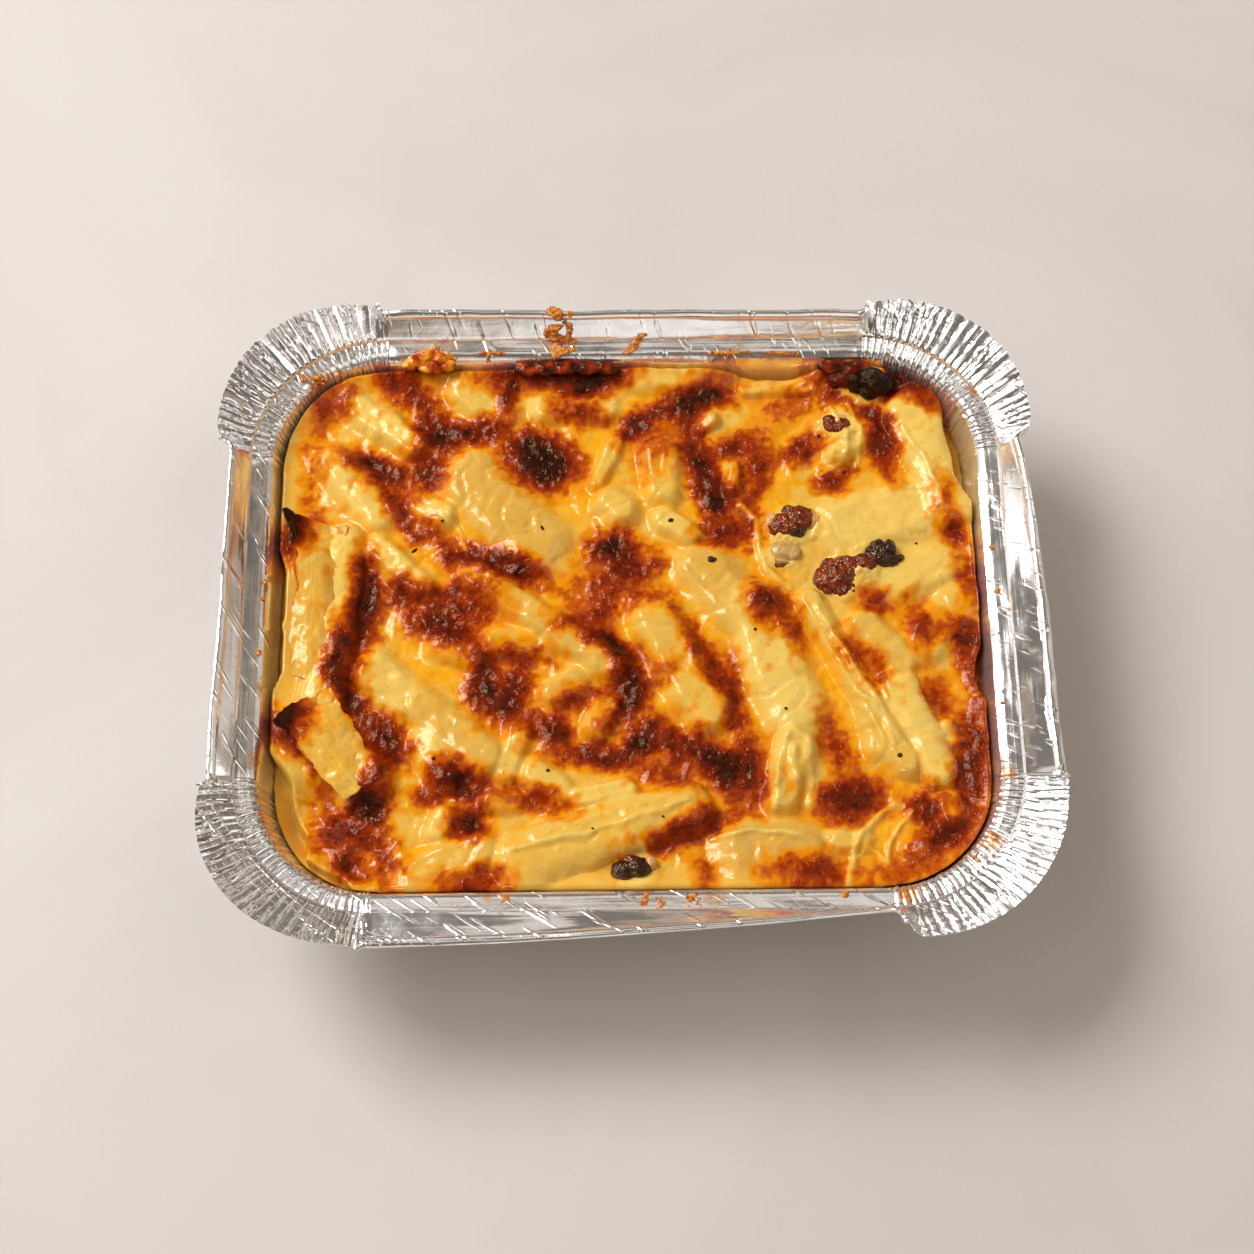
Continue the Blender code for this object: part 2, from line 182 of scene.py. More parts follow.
class Network:
    """The nodes of a material or of the room."""

    def __init__(self, tree):
        self.tree = tree

    def plug(self, socket, value):
        if isinstance(value, Wire):
            self.tree.links.new(value.socket, socket)
        else:
            socket.default_value = value

    def node(self, kind, settings, sockets, output=0):
        new = self.tree.nodes.new(kind)
        for name, value in settings.items():
            setattr(new, name, value)
        for name, value in sockets.items():
            self.plug(new.inputs[name], value)
        return Wire(self, new.outputs[output])

    def mix(self, share, first, second):
        """The first colour turned into the second by this share."""
        return self.node("ShaderNodeMix", {"data_type": "RGBA"}, {0: share, 6: first, 7: second}, 2)


class Finish(Network):
    """One procedural material."""

    def __init__(self, name, **constants):
        self.material = bpy.data.materials.new(name)
        self.material.use_nodes = True
        super().__init__(self.material.node_tree)
        self.shader = self.tree.nodes["Principled BSDF"]
        self.place = self.node("ShaderNodeTexCoord", {}, {}, "Object")
        self.set(**constants)

    def set(self, **values):
        """Set the shader's sockets, with their names written in lower case with underscores."""
        for name, value in values.items():
            words = name.replace("_", " ").title().replace("Ior", "IOR")
            self.plug(self.shader.inputs[words], value)

    def grain(self, width_mm, detail=2.0, rough=0.5, distort=0.0, where=None):
        """Cloudy noise around a half, its spots about this many millimetres wide."""
        sockets = {"Vector": where or self.place, "Scale": 1.0 / (width_mm * MM), "Detail": detail,
                   "Roughness": rough, "Distortion": distort}
        return self.node("ShaderNodeTexNoise", {}, sockets)

    def cells(self, width_mm):
        """Distance to the middle of cells this many millimetres wide."""
        sockets = {"Vector": self.place, "Scale": 1.0 / (width_mm * MM)}
        return self.node("ShaderNodeTexVoronoi", {}, sockets, "Distance")

    def attribute(self, name):
        return self.node("ShaderNodeAttribute", {"attribute_name": name}, {}, "Fac")

    def bump(self, height, depth_mm, strength=1.0):
        """A bent normal: the height's whole range stands for this many millimetres."""
        sockets = {"Height": height, "Distance": depth_mm * MM, "Strength": strength}
        return self.node("ShaderNodeBump", {}, sockets)


def colour(red, green, blue):
    """A colour from its 0 to 255 screen values, as the shader wants it."""
    shares = [c / 255 for c in (red, green, blue)]
    parts = [s / 12.92 if s < 0.04045 else ((s + 0.055) / 1.055) ** 2.4 for s in shares]
    return (*parts, 1.0)


print("material helpers ready")

# %% [markdown]
# The studio: a pale floor, one large soft light behind and to the left, and a dim warm room with
# a pale horizon. Foil shows little but its surroundings, so the room has brighter panels for it
# to mirror, and a patchy ring round the place that level foil mirrors to the camera.

# %% Floor and light
FLOOR_HALF = 6.0
KEY_PLACE = (-1.02, 0.68, 1.48)
KEY_AIM = (0.0, 0.0, 0.03)
KEY_SIZE = 0.86
KEY_POWER = 28.5

clear_selection()
bpy.ops.mesh.primitive_plane_add(size=2 * FLOOR_HALF, location=(0.0, 0.0, -0.0002))
floor = bpy.context.object
floor.name = "floor"
bpy.ops.object.transform_apply(location=True)
tabletop = Finish("pale_tabletop", roughness=0.5)
cloud = tabletop.grain(240.0, 4.0, 0.6, 1.0)
light_and_dark = (colour(215, 210, 206), colour(207, 201, 196))
tabletop.set(base_color=tabletop.mix(cloud.eased(0.35, 0.7), *light_and_dark))
floor.data.materials.append(tabletop.material)

bpy.ops.object.light_add(type="AREA", location=KEY_PLACE)
key = bpy.context.object
key.name = "key_light"
key.data.shape = "SQUARE"
key.data.size = KEY_SIZE
key.data.energy = KEY_POWER
key.rotation_mode = "QUATERNION"
key.rotation_quaternion = (Vector(KEY_AIM) - Vector(KEY_PLACE)).to_track_quat("-Z", "Y")
print("floor and light ready")

# %% [markdown]
# Each panel is noted as its direction, the cosines at which it begins and is full, and how bright
# it is.

# %% Room
room = bpy.data.worlds.new("room")
bpy.context.scene.world = room
room.use_nodes = True
walls = Network(room.node_tree)
way_out = walls.node("ShaderNodeTexCoord", {}, {}, "Generated")
MIRRORED_VIEW = Vector((0.0, 0.38, 0.92)).normalized()
PANEL_STRENGTH = 0.7
RING_STRENGTH = 0.5
ROOM_DIM = 0.055
DIM_COLOUR = (1.0, 0.7, 0.42, 1.0)
BRIGHT_COLOUR = (1.0, 0.95, 0.9, 1.0)
PANELS = (
    ((-0.75, 0.45, 0.48), 0.86, 0.96, 1.3), ((0.85, 0.15, 0.5), 0.90, 0.97, 0.8),
    ((0.25, -0.85, 0.45), 0.90, 0.98, 0.9), ((-0.85, -0.4, 0.35), 0.93, 0.98, 0.8),
    ((0.50, -0.12, 0.85), 0.93, 0.985, 1.8), ((-0.50, -0.15, 0.84), 0.94, 0.985, 1.5),
    ((0.0, -1.0, 0.08), 0.93, 0.99, 0.9),
)


def facing(toward):
    """The cosine between the way out into the room and this direction."""
    sockets = {0: way_out, 1: Vector(toward).normalized()}
    return walls.node("ShaderNodeVectorMath", {"operation": "DOT_PRODUCT"}, sockets, "Value")


above = facing(MIRRORED_VIEW)
patchy = walls.node("ShaderNodeTexNoise", {}, {"Vector": way_out, "Scale": 3.2, "Detail": 1.0})
ring = above.eased(0.78, 0.86) * above.eased(0.985, 0.955) * patchy.eased(0.38, 0.56, 0.35, 1.3)
glow = ring * RING_STRENGTH + ROOM_DIM
for toward, edge, full, bright in PANELS:
    glow = facing(toward).eased(edge, full) * (bright * PANEL_STRENGTH) + glow
tall = walls.node("ShaderNodeSeparateXYZ", {}, {"Vector": way_out}, "Z")
glow = glow + abs(tall).eased(0.30, 0.0) * 0.4
background = room.node_tree.nodes["Background"]
walls.plug(background.inputs["Strength"], glow)
warmth = walls.mix(glow.eased(0.12, 0.9), DIM_COLOUR, BRIGHT_COLOUR)
walls.plug(background.inputs["Color"], warmth)
bpy.context.scene.view_settings.view_transform = "Standard"
print("room ready with", len(PANELS), "panels")

# %% [markdown]
# The container is pressed from one sheet of foil. Every ring round it is the same shape: a radius
# about the four corner centres. So its cross-section can be drawn once, pulled along a straight
# side, spun round a corner, and so on until it meets itself. The rim is left flat at first.

# %% The foil's cross-section
CORNER_X = 61.0
CORNER_Y = 43.0
FLOOR_RADIUS = 16.0
FOOT = (20.6, 3.2)
WALL_TOP = (29.6, 38.6)
LIP = (30.8, 39.5)
SHELF = (34.6, 40.2)
RIDGE = (35.1, 41.2)
FLANGE_REACH = 12.4
FOIL_THICK = 0.12


def between(start, end, steps):
    """Points from start up to just before end."""
    return [tuple(a + (b - a) * step / steps for a, b in zip(start, end)) for step in range(steps)]


def about_corners(points):
    """Each point's nearest place on the corner centres' rectangle, and its radius from there."""
    core_x = np.clip(points[:, 0], -CORNER_X, CORNER_X)
    core_y = np.clip(points[:, 1], -CORNER_Y, CORNER_Y)
    return core_x, core_y, np.hypot(points[:, 0] - core_x, points[:, 1] - core_y)


rim_end = (RIDGE[0] + FLANGE_REACH, RIDGE[1])
section = between((FLOOR_RADIUS, 0.15), (18.6, 0.7), 2) + between((18.6, 0.7), FOOT, 2)
section += between(FOOT, WALL_TOP, 8) + between(WALL_TOP, LIP, 2) + between(LIP, SHELF, 5)
section += between(SHELF, RIDGE, 2) + between(RIDGE, rim_end, 23) + [rim_end]
print("cross-section points", len(section))

# %% [markdown]
# Pull and spin. The corners get many steps, because each holds some thirty pleats, and the
# straight sides enough for dents.

# %% Sweep the cross-section round the tray
CORNER_STEPS = 196
SIDE_STEPS = 40

clear_selection()
drawing = bpy.data.meshes.new("foil_container")
drawing.from_pydata([on_tray(CORNER_X + r, -CORNER_Y, z) for r, z in section],
                    [(i, i + 1) for i in range(len(section) - 1)], [])
foil = bpy.data.objects.new("foil_container", drawing)
bpy.context.scene.collection.objects.link(foil)
bpy.context.view_layer.objects.active = foil
foil.select_set(True)
bpy.ops.object.mode_set(mode="EDIT")
bpy.ops.mesh.select_all(action="SELECT")
PULLS = ((0.0, 2 * CORNER_Y), (-2 * CORNER_X, 0.0), (0.0, -2 * CORNER_Y), (2 * CORNER_X, 0.0))
CORNERS = ((CORNER_X, CORNER_Y), (-CORNER_X, CORNER_Y),
           (-CORNER_X, -CORNER_Y), (CORNER_X, -CORNER_Y))
for pull, corner in zip(PULLS, CORNERS):
    for step in range(SIDE_STEPS):
        move = (pull[0] * MM / SIDE_STEPS, pull[1] * MM / SIDE_STEPS, 0.0)
        bpy.ops.mesh.extrude_region_move(TRANSFORM_OT_translate={"value": move})
    bpy.ops.mesh.spin(steps=CORNER_STEPS, angle=-math.pi / 2, center=on_tray(*corner, 0.0),
                      axis=(0, 0, 1))
bpy.ops.mesh.select_all(action="SELECT")
bpy.ops.mesh.remove_doubles(threshold=0.00001)
bpy.ops.object.mode_set(mode="OBJECT")
print("foil points", len(foil.data.vertices))

# %% [markdown]
# Now the foil is bent. Real pleats are folded over to one side, so each rises slowly and drops
# fast, and no two are alike. They run down the corners of the wall, across the shelf and out to
# a splayed fan, where the hem has opened. Along the straight sides the edge is rolled into a hem,
# and the flange has been pinched up at some ends and pressed flat at others.

# %% Pleats, hem and bent rim
PLEATS = 30
HEM_RADIUS = 1.22
HEM_FLAT = 0.62
HEM_LENGTH = 2.4
RIDGE_RADIUS = 35.0
WALL_OUT = (0.966, -0.257)
WALL_PLEAT = 0.52
SHELF_PLEAT = 0.34
TILT_AT = (0.0, 0.25, 0.5, 0.75, 1.0)
SIDE_TILTS = ((4.0, 2.0, 6.0, 28.0, 60.0), (62.0, 58.0, 54.0, 50.0, 47.0),
              (57.0, 54.0, 47.0, 34.0, 14.0), (3.0, 12.0, 30.0, 48.0, 70.0))
SIDE_FLATS = ((7.0, 5.2), (4.6, 5.0), (5.1, 3.8), (6.2, 5.1))
FAN_TILT = 21.0


def pleat_wave(share, seed, count=PLEATS):
    """Height of the folds across a corner, from its start (0) to its end (1)."""
    chance = random.Random(seed)
    widths = [chance.uniform(0.6, 1.5) for _ in range(count)]
    total = sum(widths)
    places = []
    heights = []
    at = 0.0
    for width in widths:
        tall = chance.uniform(0.45, 1.3)
        lean = chance.uniform(0.7, 0.9)
        places += [at / total, (at + 0.22 * width) / total, (at + lean * width) / total]
        heights += [-tall, 0.3 * tall, 0.75 * tall]
        at += width
    return np.interp(share, places + [1.0], heights + [-0.5])


def bend_foil(points):
    """Fold the pleats, roll the hem and tilt the flange."""
    core_x, core_y, radius = about_corners(points)
    out_x, out_y, z = points[:, 0] - core_x, points[:, 1] - core_y, points[:, 2]
    way_x, way_y = out_x / radius, out_y / radius
    turn = np.degrees(np.arctan2(way_y, way_x)) % 360.0
    in_corner = (np.abs(out_x) > 0.001) & (np.abs(out_y) > 0.001)
    quarter = np.floor_divide(turn, 90.0).astype(int)
    share = np.where(in_corner, turn / 90.0 - quarter, 0.0)
    side = np.where(in_corner, quarter, np.round(turn / 90.0).astype(int) % 4)
    run_x = np.where(side % 2 == 0, core_y / CORNER_Y, -core_x / CORNER_X)
    along = (np.where(side >= 2, -run_x, run_x) + 1.0) / 2.0
    fold, fold_out, tilt, flat = np.zeros((4, len(points)))
    for k in range(4):
        here = side == k
        straight = here & ~in_corner
        tilt[straight] = np.interp(along[straight], TILT_AT, SIDE_TILTS[k])
        start, end = SIDE_FLATS[k]
        flat[straight] = start + (end - start) * along[straight]
        bent = here & in_corner
        following = (k + 1) % 4
        leave = ease(0.0, 0.11, share[bent])
        arrive = ease(0.89, 1.0, share[bent])
        level_out = SIDE_TILTS[k][-1] + (FAN_TILT - SIDE_TILTS[k][-1]) * leave
        tilt[bent] = level_out + (SIDE_TILTS[following][0] - FAN_TILT) * arrive
        flat[bent] = end + (SIDE_FLATS[following][0] - end) * share[bent]
        drift = 0.004 * np.sin(radius[bent] * 0.35 + 9.0 * share[bent] + k)
        fold[bent] = pleat_wave(np.clip(share[bent] + drift, 0, 1), 30 + k)
        fold_out[bent] = pleat_wave(np.clip(share[bent] - drift, 0, 1), 30 + k)
    calm = ease(0.0, 0.035, share) * ease(1.0, 0.965, share)
    fold *= calm
    fold_out *= calm
    from_end = np.minimum(share, 1.0 - share) * RIDGE_RADIUS * math.pi / 2.0
    curl = np.where(in_corner, ease(3.4, 1.2, from_end), 1.0)
    on_wall = ease(5.0, 14.0, z) * (radius < WALL_TOP[0] + 0.1)
    lean = WALL_PLEAT * fold * on_wall
    radius = radius - WALL_OUT[0] * lean
    z = z - WALL_OUT[1] * lean
    on_shelf = (radius > WALL_TOP[0] + 0.2) & (radius <= RIDGE[0] + 0.01)
    shelf_fold = SHELF_PLEAT * fold * ease(RIDGE[0] + 0.6, RIDGE[0] - 1.2, radius)
    z = z + np.where(on_shelf, shelf_fold, 0.0)
    fan = np.sin(math.pi * share) ** 0.9
    reach = np.maximum(radius - RIDGE[0], 0.0)
    on_rim = reach > 0.0
    hem_end = flat + HEM_LENGTH
    splayed = hem_end + (FLANGE_REACH - hem_end) * fan + 0.35 * fold_out
    longest = np.where(in_corner, splayed, FLANGE_REACH)
    step_out = reach * np.where(in_corner, (1 - curl) * longest / FLANGE_REACH + curl, 1.0)
    past = np.maximum(step_out - flat, 0.0)
    heading = math.pi / 2 * curl
    bend = np.maximum(curl / HEM_RADIUS, 0.0001)
    rolled_u = (np.sin(heading) - np.sin(heading - bend * past)) / bend
    rolled_w = (np.cos(heading - bend * past) - np.cos(heading)) / bend * (1 - (1 - HEM_FLAT) * curl)
    u = np.minimum(step_out, flat) + rolled_u
    w = rolled_w + 0.075 * fold_out * np.minimum(u, 9.0) * (1 - 0.6 * curl)
    w = w + 0.2 * fold * (1 - curl)
    angle = np.radians(tilt)
    rim_radius = RIDGE[0] + u * np.cos(angle) - w * np.sin(angle)
    rim_height = RIDGE[1] + u * np.sin(angle) + w * np.cos(angle)
    radius = np.where(on_rim, rim_radius, radius)
    z = np.where(on_rim, rim_height, z)
    bent = np.column_stack((core_x + way_x * radius, core_y + way_y * radius, z))
    return bent, way_x, way_y, on_rim, reach, in_corner


flat_points = points_of(foil)
bent_points, way_x, way_y, on_rim, reach, in_corner = bend_foil(flat_points)
print("bent foil reaches", np.round(bent_points.min(0), 1), np.round(bent_points.max(0), 1))

# %% [markdown]
# Thin foil never stays smooth. Broad waves run along the rim, soft dents cross the straight
# sides at a slant, most of all at the right, and fine creases cover all of it. The sheet is then
# closed below and given its thickness.

# %% Dents and creases
loose = ease(33.0, 39.0, bent_points[:, 2])
slanted = bent_points.copy()
slanted[:, 0] += 0.9 * slanted[:, 1]
plain = np.where(in_corner, 0.1, 1.0)
waves = 0.6 * bumps(bent_points, 17.0, 3.0) * loose * np.where(in_corner, 0.4, 1.0)
right_side = ease(84.0, 88.0, bent_points[:, 0])
dents = 0.42 * np.maximum(bumps(slanted, 5.2, 9.0) - 0.1, 0.0) * loose * plain
dents -= 0.5 * right_side * plain * np.maximum(bumps(slanted, 3.4, 11.0) - 0.15, 0.0)
creases = -0.07 * np.abs(bumps(slanted, 2.4, 21.0)) * plain
push = np.where(on_rim, waves * ease(0.0, 4.0, reach), 0.35 * waves) + dents + creases
wall_part = (~on_rim) & (bent_points[:, 2] < 38.8)
bent_points[:, 2] += np.where(wall_part, 0.0, push)
wall_push = 0.3 * push + 0.10 * bumps(bent_points, 9.0, 30.0) * (bent_points[:, 2] > 4.0)
side_push = np.where(wall_part, wall_push, np.where(on_rim, 0.45 * push, 0.0))
bent_points[:, 0] += side_push * way_x
bent_points[:, 1] += side_push * way_y
place_points(foil, bent_points)


def close_ring():
    """Fill the active piece's selected ring and turn all its faces outward."""
    bpy.ops.object.mode_set(mode="EDIT")
    bpy.ops.mesh.edge_face_add()
    bpy.ops.mesh.select_all(action="SELECT")
    bpy.ops.mesh.normals_make_consistent(inside=False)
    bpy.ops.object.mode_set(mode="OBJECT")


def thicken(piece, thick_mm, offset):
    """Make a shell of a sheet, from its middle (0) or from its upper face down (-1)."""
    shell = piece.modifiers.new("thickness", "SOLIDIFY")
    shell.thickness = thick_mm * MM
    shell.offset = offset
    bpy.ops.object.modifier_apply(modifier=shell.name)


bpy.ops.object.mode_set(mode="EDIT")
bpy.ops.mesh.select_all(action="DESELECT")
bpy.ops.mesh.select_mode(type="EDGE")
bpy.ops.object.mode_set(mode="OBJECT")
floor_edge = {i for i, p in enumerate(flat_points) if p[2] < 0.2}
for edge in foil.data.edges:
    edge.select = edge.vertices[0] in floor_edge and edge.vertices[1] in floor_edge
close_ring()
thicken(foil, FOIL_THICK, 0.0)
bpy.ops.object.shade_smooth_by_angle(angle=math.radians(38.0))
print("foil faces", len(foil.data.polygons))

# %% [markdown]
# Foil is bare metal: no colour of its own, a sharp but slightly broken mirror, with fine lines
# along the sides and slanting press marks. Cooking fat has browned it where the food bubbled
# over, and just above the food.

# %% Foil finish
SPILLS = (
    (-50, 75, 7.0), (-79, 66, 7.0), (-84, 60, 6.0), (-14, 78, 7.0), (-19, 77, 5.0), (3, 77, 5.0),
    (30, 76, 6.0), (-46, 77, 6.0), (-34, -73, 5.0), (4, -73, 8.0), (20, -73, 8.0), (-90, -38, 6.0),
    (-88, -52, 5.0), (66, -74, 6.0), (86, -62, 6.0), (92, -44, 4.0), (-91, 20, 5.0), (92, 62, 5.0),
    (-74, -66, 6.0), (-90, -20, 4.0), (90, -12, 4.0),
)


def store(piece, name, values):
    """Keep one number for each point of a piece, for its material to read."""
    kept = piece.data.attributes.new(name, "FLOAT", "POINT")
    kept.data.foreach_set("value", values.astype(np.float32))


def spot(points, x, y, reach, core=0.2):
    """1 in the core of a round spot on the plan, fading to 0 at its reach."""
    return ease(reach, core * reach, np.hypot(points[:, 0] - x, points[:, 1] - y))


foil_points = points_of(foil)
stain = np.zeros(len(foil_points))
for spill in SPILLS:
    stain = np.maximum(stain, 0.75 * spot(foil_points, *spill))
from_core = about_corners(foil_points)[2]
stain *= ease(36.5, 34.5, from_core)
band = ease(31.6, 30.2, from_core) * ease(20.0, 30.0, foil_points[:, 2])
band *= 0.7 + 0.3 * ease(40.0, 60.0, foil_points[:, 1])
stain = np.maximum(stain, 0.55 * band)
stain *= (0.75 + 0.5 * bumps(foil_points, 6.0, 40.0)) * ease(33.0, 38.0, foil_points[:, 2])
store(foil, "stain", np.clip(stain, 0.0, 1.0))
store(foil, "across", from_core * MM)
store(foil, "along", (foil_points[:, 0] + foil_points[:, 1]) * MM)
print("stained share of the foil", round(float((stain > 0.3).mean()), 3))

bare = Finish("pressed_foil")
broad = bare.grain(7.0, 3.0, 0.55, 0.6)
fine = bare.grain(0.9, 3.0, 0.6)
across, along = bare.attribute("across"), bare.attribute("along")
lengthwise = bare.node("ShaderNodeCombineXYZ", {}, {"X": across, "Y": along * 0.03})
slant_x = across * 0.5 - along * 0.87
slant_y = across * 0.87 + along * 0.5
slanting = bare.node("ShaderNodeCombineXYZ", {}, {"X": slant_x, "Y": slant_y * 0.28})
press_marks = bare.grain(2.2, 1.0, 0.5, where=slanting).eased(0.58, 0.74)
pressed_lines = bare.grain(1.5, 2.0, 0.6, where=lengthwise)
browned = bare.attribute("stain") + (bare.grain(1.1, 4.0, 0.65) - 0.5) * 0.9
film = browned.eased(0.36, 0.62)
crust = browned.eased(0.60, 0.78)
metal = bare.mix(broad.eased(0.3, 0.7), (0.95, 0.95, 0.95, 1.0), (0.88, 0.88, 0.89, 1.0))
tanned = bare.mix(film * 0.8, metal, colour(222, 172, 112))
relief = broad * 0.5 + fine * 0.1 + pressed_lines * 0.5 + press_marks * 0.8
bare.set(base_color=bare.mix(crust, tanned, colour(196, 104, 22)),
         metallic=0.86 - crust * 0.76,
         roughness=0.12 + broad.eased(0.35, 0.75) * 0.10 + film * 0.14,
         normal=bare.bump(relief, 0.2, 0.8))
foil.data.materials.append(bare.material)
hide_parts("foil_tray")
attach(foil, "root")

# %% [markdown]
# The bake starts as a fine flat grid, whose square corners are mapped to round ones. Its top is
# then raised by function, as with a sculpting brush: a low bed of sauce and cheese, each piece of
# pasta that shows through, blisters where the cheese has browned, and a gap where the bake has
# drawn away from the wall.

# %% The bake's blank
GRID_STEP = 0.52
BAKE_GAP = 0.15
BAKE_RADIUS = 27.6
half_x = CORNER_X + BAKE_RADIUS
half_y = CORNER_Y + BAKE_RADIUS

clear_selection()
bpy.ops.mesh.primitive_grid_add(x_subdivisions=round(2 * half_x / GRID_STEP),
                                y_subdivisions=round(2 * half_y / GRID_STEP),
                                size=2.0, location=(0.0, 0.0, 0.0))
bake = bpy.context.object
bake.name = "baked_pasta"
spread = points_of(bake)
spread[:, 0] = (spread[:, 0] + TRAY_MIDDLE[0]) * MM * half_x
spread[:, 1] = (spread[:, 1] + TRAY_MIDDLE[1]) * MM * half_y
beyond_x = np.maximum(np.abs(spread[:, 0]) - CORNER_X, 0.0) / BAKE_RADIUS
beyond_y = np.maximum(np.abs(spread[:, 1]) - CORNER_Y, 0.0) / BAKE_RADIUS
round_x = beyond_x * np.sqrt(1.0 - beyond_y ** 2 / 2.0)
round_y = beyond_y * np.sqrt(1.0 - beyond_x ** 2 / 2.0)
x = np.sign(spread[:, 0]) * (np.minimum(np.abs(spread[:, 0]), CORNER_X) + BAKE_RADIUS * round_x)
y = np.sign(spread[:, 1]) * (np.minimum(np.abs(spread[:, 1]), CORNER_Y) + BAKE_RADIUS * round_y)
plan = np.column_stack((x, y, np.zeros(len(x))))
print("bake grid points", len(x), "reach", round(x.max(), 1), round(y.max(), 1))

# %% [markdown]
# These tables were noted from the photograph: where the pasta pieces lie, which patches of cheese have
# browned and how far, with one weak strip of painted shade along the left edge, and where golden oil has
# gathered. A piece is its two ends, its width and how far it stands up. A patch is a leaning ellipse and a
# strength.

# %% Pieces of pasta and patches of crust
PIECES = (
    (-71, 62, -55, 50, 10.4, 3.4), (-75, 45, -63, 30, 12.4, 3.2), (-53, 33, -47, 29, 8.9, 2.4),
    (-41, 65, -32, 60, 11.9, 2.8), (-39, 38, -24, 21, 20.8, 3.4), (-63, 20, -52, 9, 9.4, 3.0),
    (-72, 21, -76, -20, 13.4, 4.2), (-38, 11, -4, -13, 10.4, 3.6), (-21, 60, -5, 60, 9.4, 2.6),
    (-2, 51, -7, 38, 5.7, 2.6), (-3, 32, -1, 30, 11.4, 3.4), (9, 46, 10, 36, 11.9, 3.6),
    (10, 27, 16, 23, 8.4, 3.0), (4, 69, 17, 69, 9.4, 2.0), (32, 66, 49, 66, 5.0, 2.2),
    (20, 54, 23, 56, 5.5, 2.6), (28, 42, 28, 36, 5.0, 3.0), (75, 58, 83, 31, 14.3, 4.0),
    (55, 46, 64, 53, 7.4, 3.0), (57, 25, 78, 31, 20.3, 2.8), (59, 8, 79, 14, 14.8, 2.4),
    (-63, -14, -55, -21, 13.4, 3.0), (-51, -23, -36, -37, 12.9, 3.2), (-50, -33, -45, -42, 9.4, 2.6),
    (-76, -41, -71, -48, 9.4, 2.0), (-67, -60, -63, -64, 7.9, 2.0), (-52, -66, -36, -61, 11.9, 3.4),
    (-47, -56, -45, -52, 7.4, 2.4), (-34, -49, -28, -49, 6.4, 2.6), (-26, -63, 13, -51, 15.3, 4.6),
    (7, 0, 19, -26, 14.8, 4.0), (-18, -21, -13, -18, 8.9, 2.6), (-8, -30, -5, -24, 7.9, 3.0),
    (-30, -41, -27, -31, 7.9, 3.0), (-23, -41, -17, -46, 9.4, 2.6), (-12, -48, -1, -46, 7.4, 3.2),
    (32, 2, 41, -25, 18.3, 3.8), (20, 13, 28, 3, 16.8, 3.2), (46, 3, 68, -40, 8.7, 4.4),
    (60, -3, 68, -12, 11.4, 3.4), (67, -20, 76, -41, 11.4, 4.0), (42, -34, 37, -49, 10.4, 3.6),
    (29, -61, 41, -63, 18.3, 3.8), (79, -30, 80, -33, 6.4, 3.0), (78, -50, 79, -54, 7.9, 2.8),
    (50, -59, 56, -59, 7.4, 2.6), (68, -61, 71, -61, 6.4, 2.4), (60, -24, 62, -35, 9.4, 2.8),
    (-47, -7, -39, -10, 9.4, 2.0), (-32, -7, -22, -7, 10.4, 2.4), (75, -8, 84, 3, 13.4, 3.0),
    (-82, 16, -83, 21, 6.0, 4.4), (-81, -28, -63, -42, 14.0, 4.6),
)
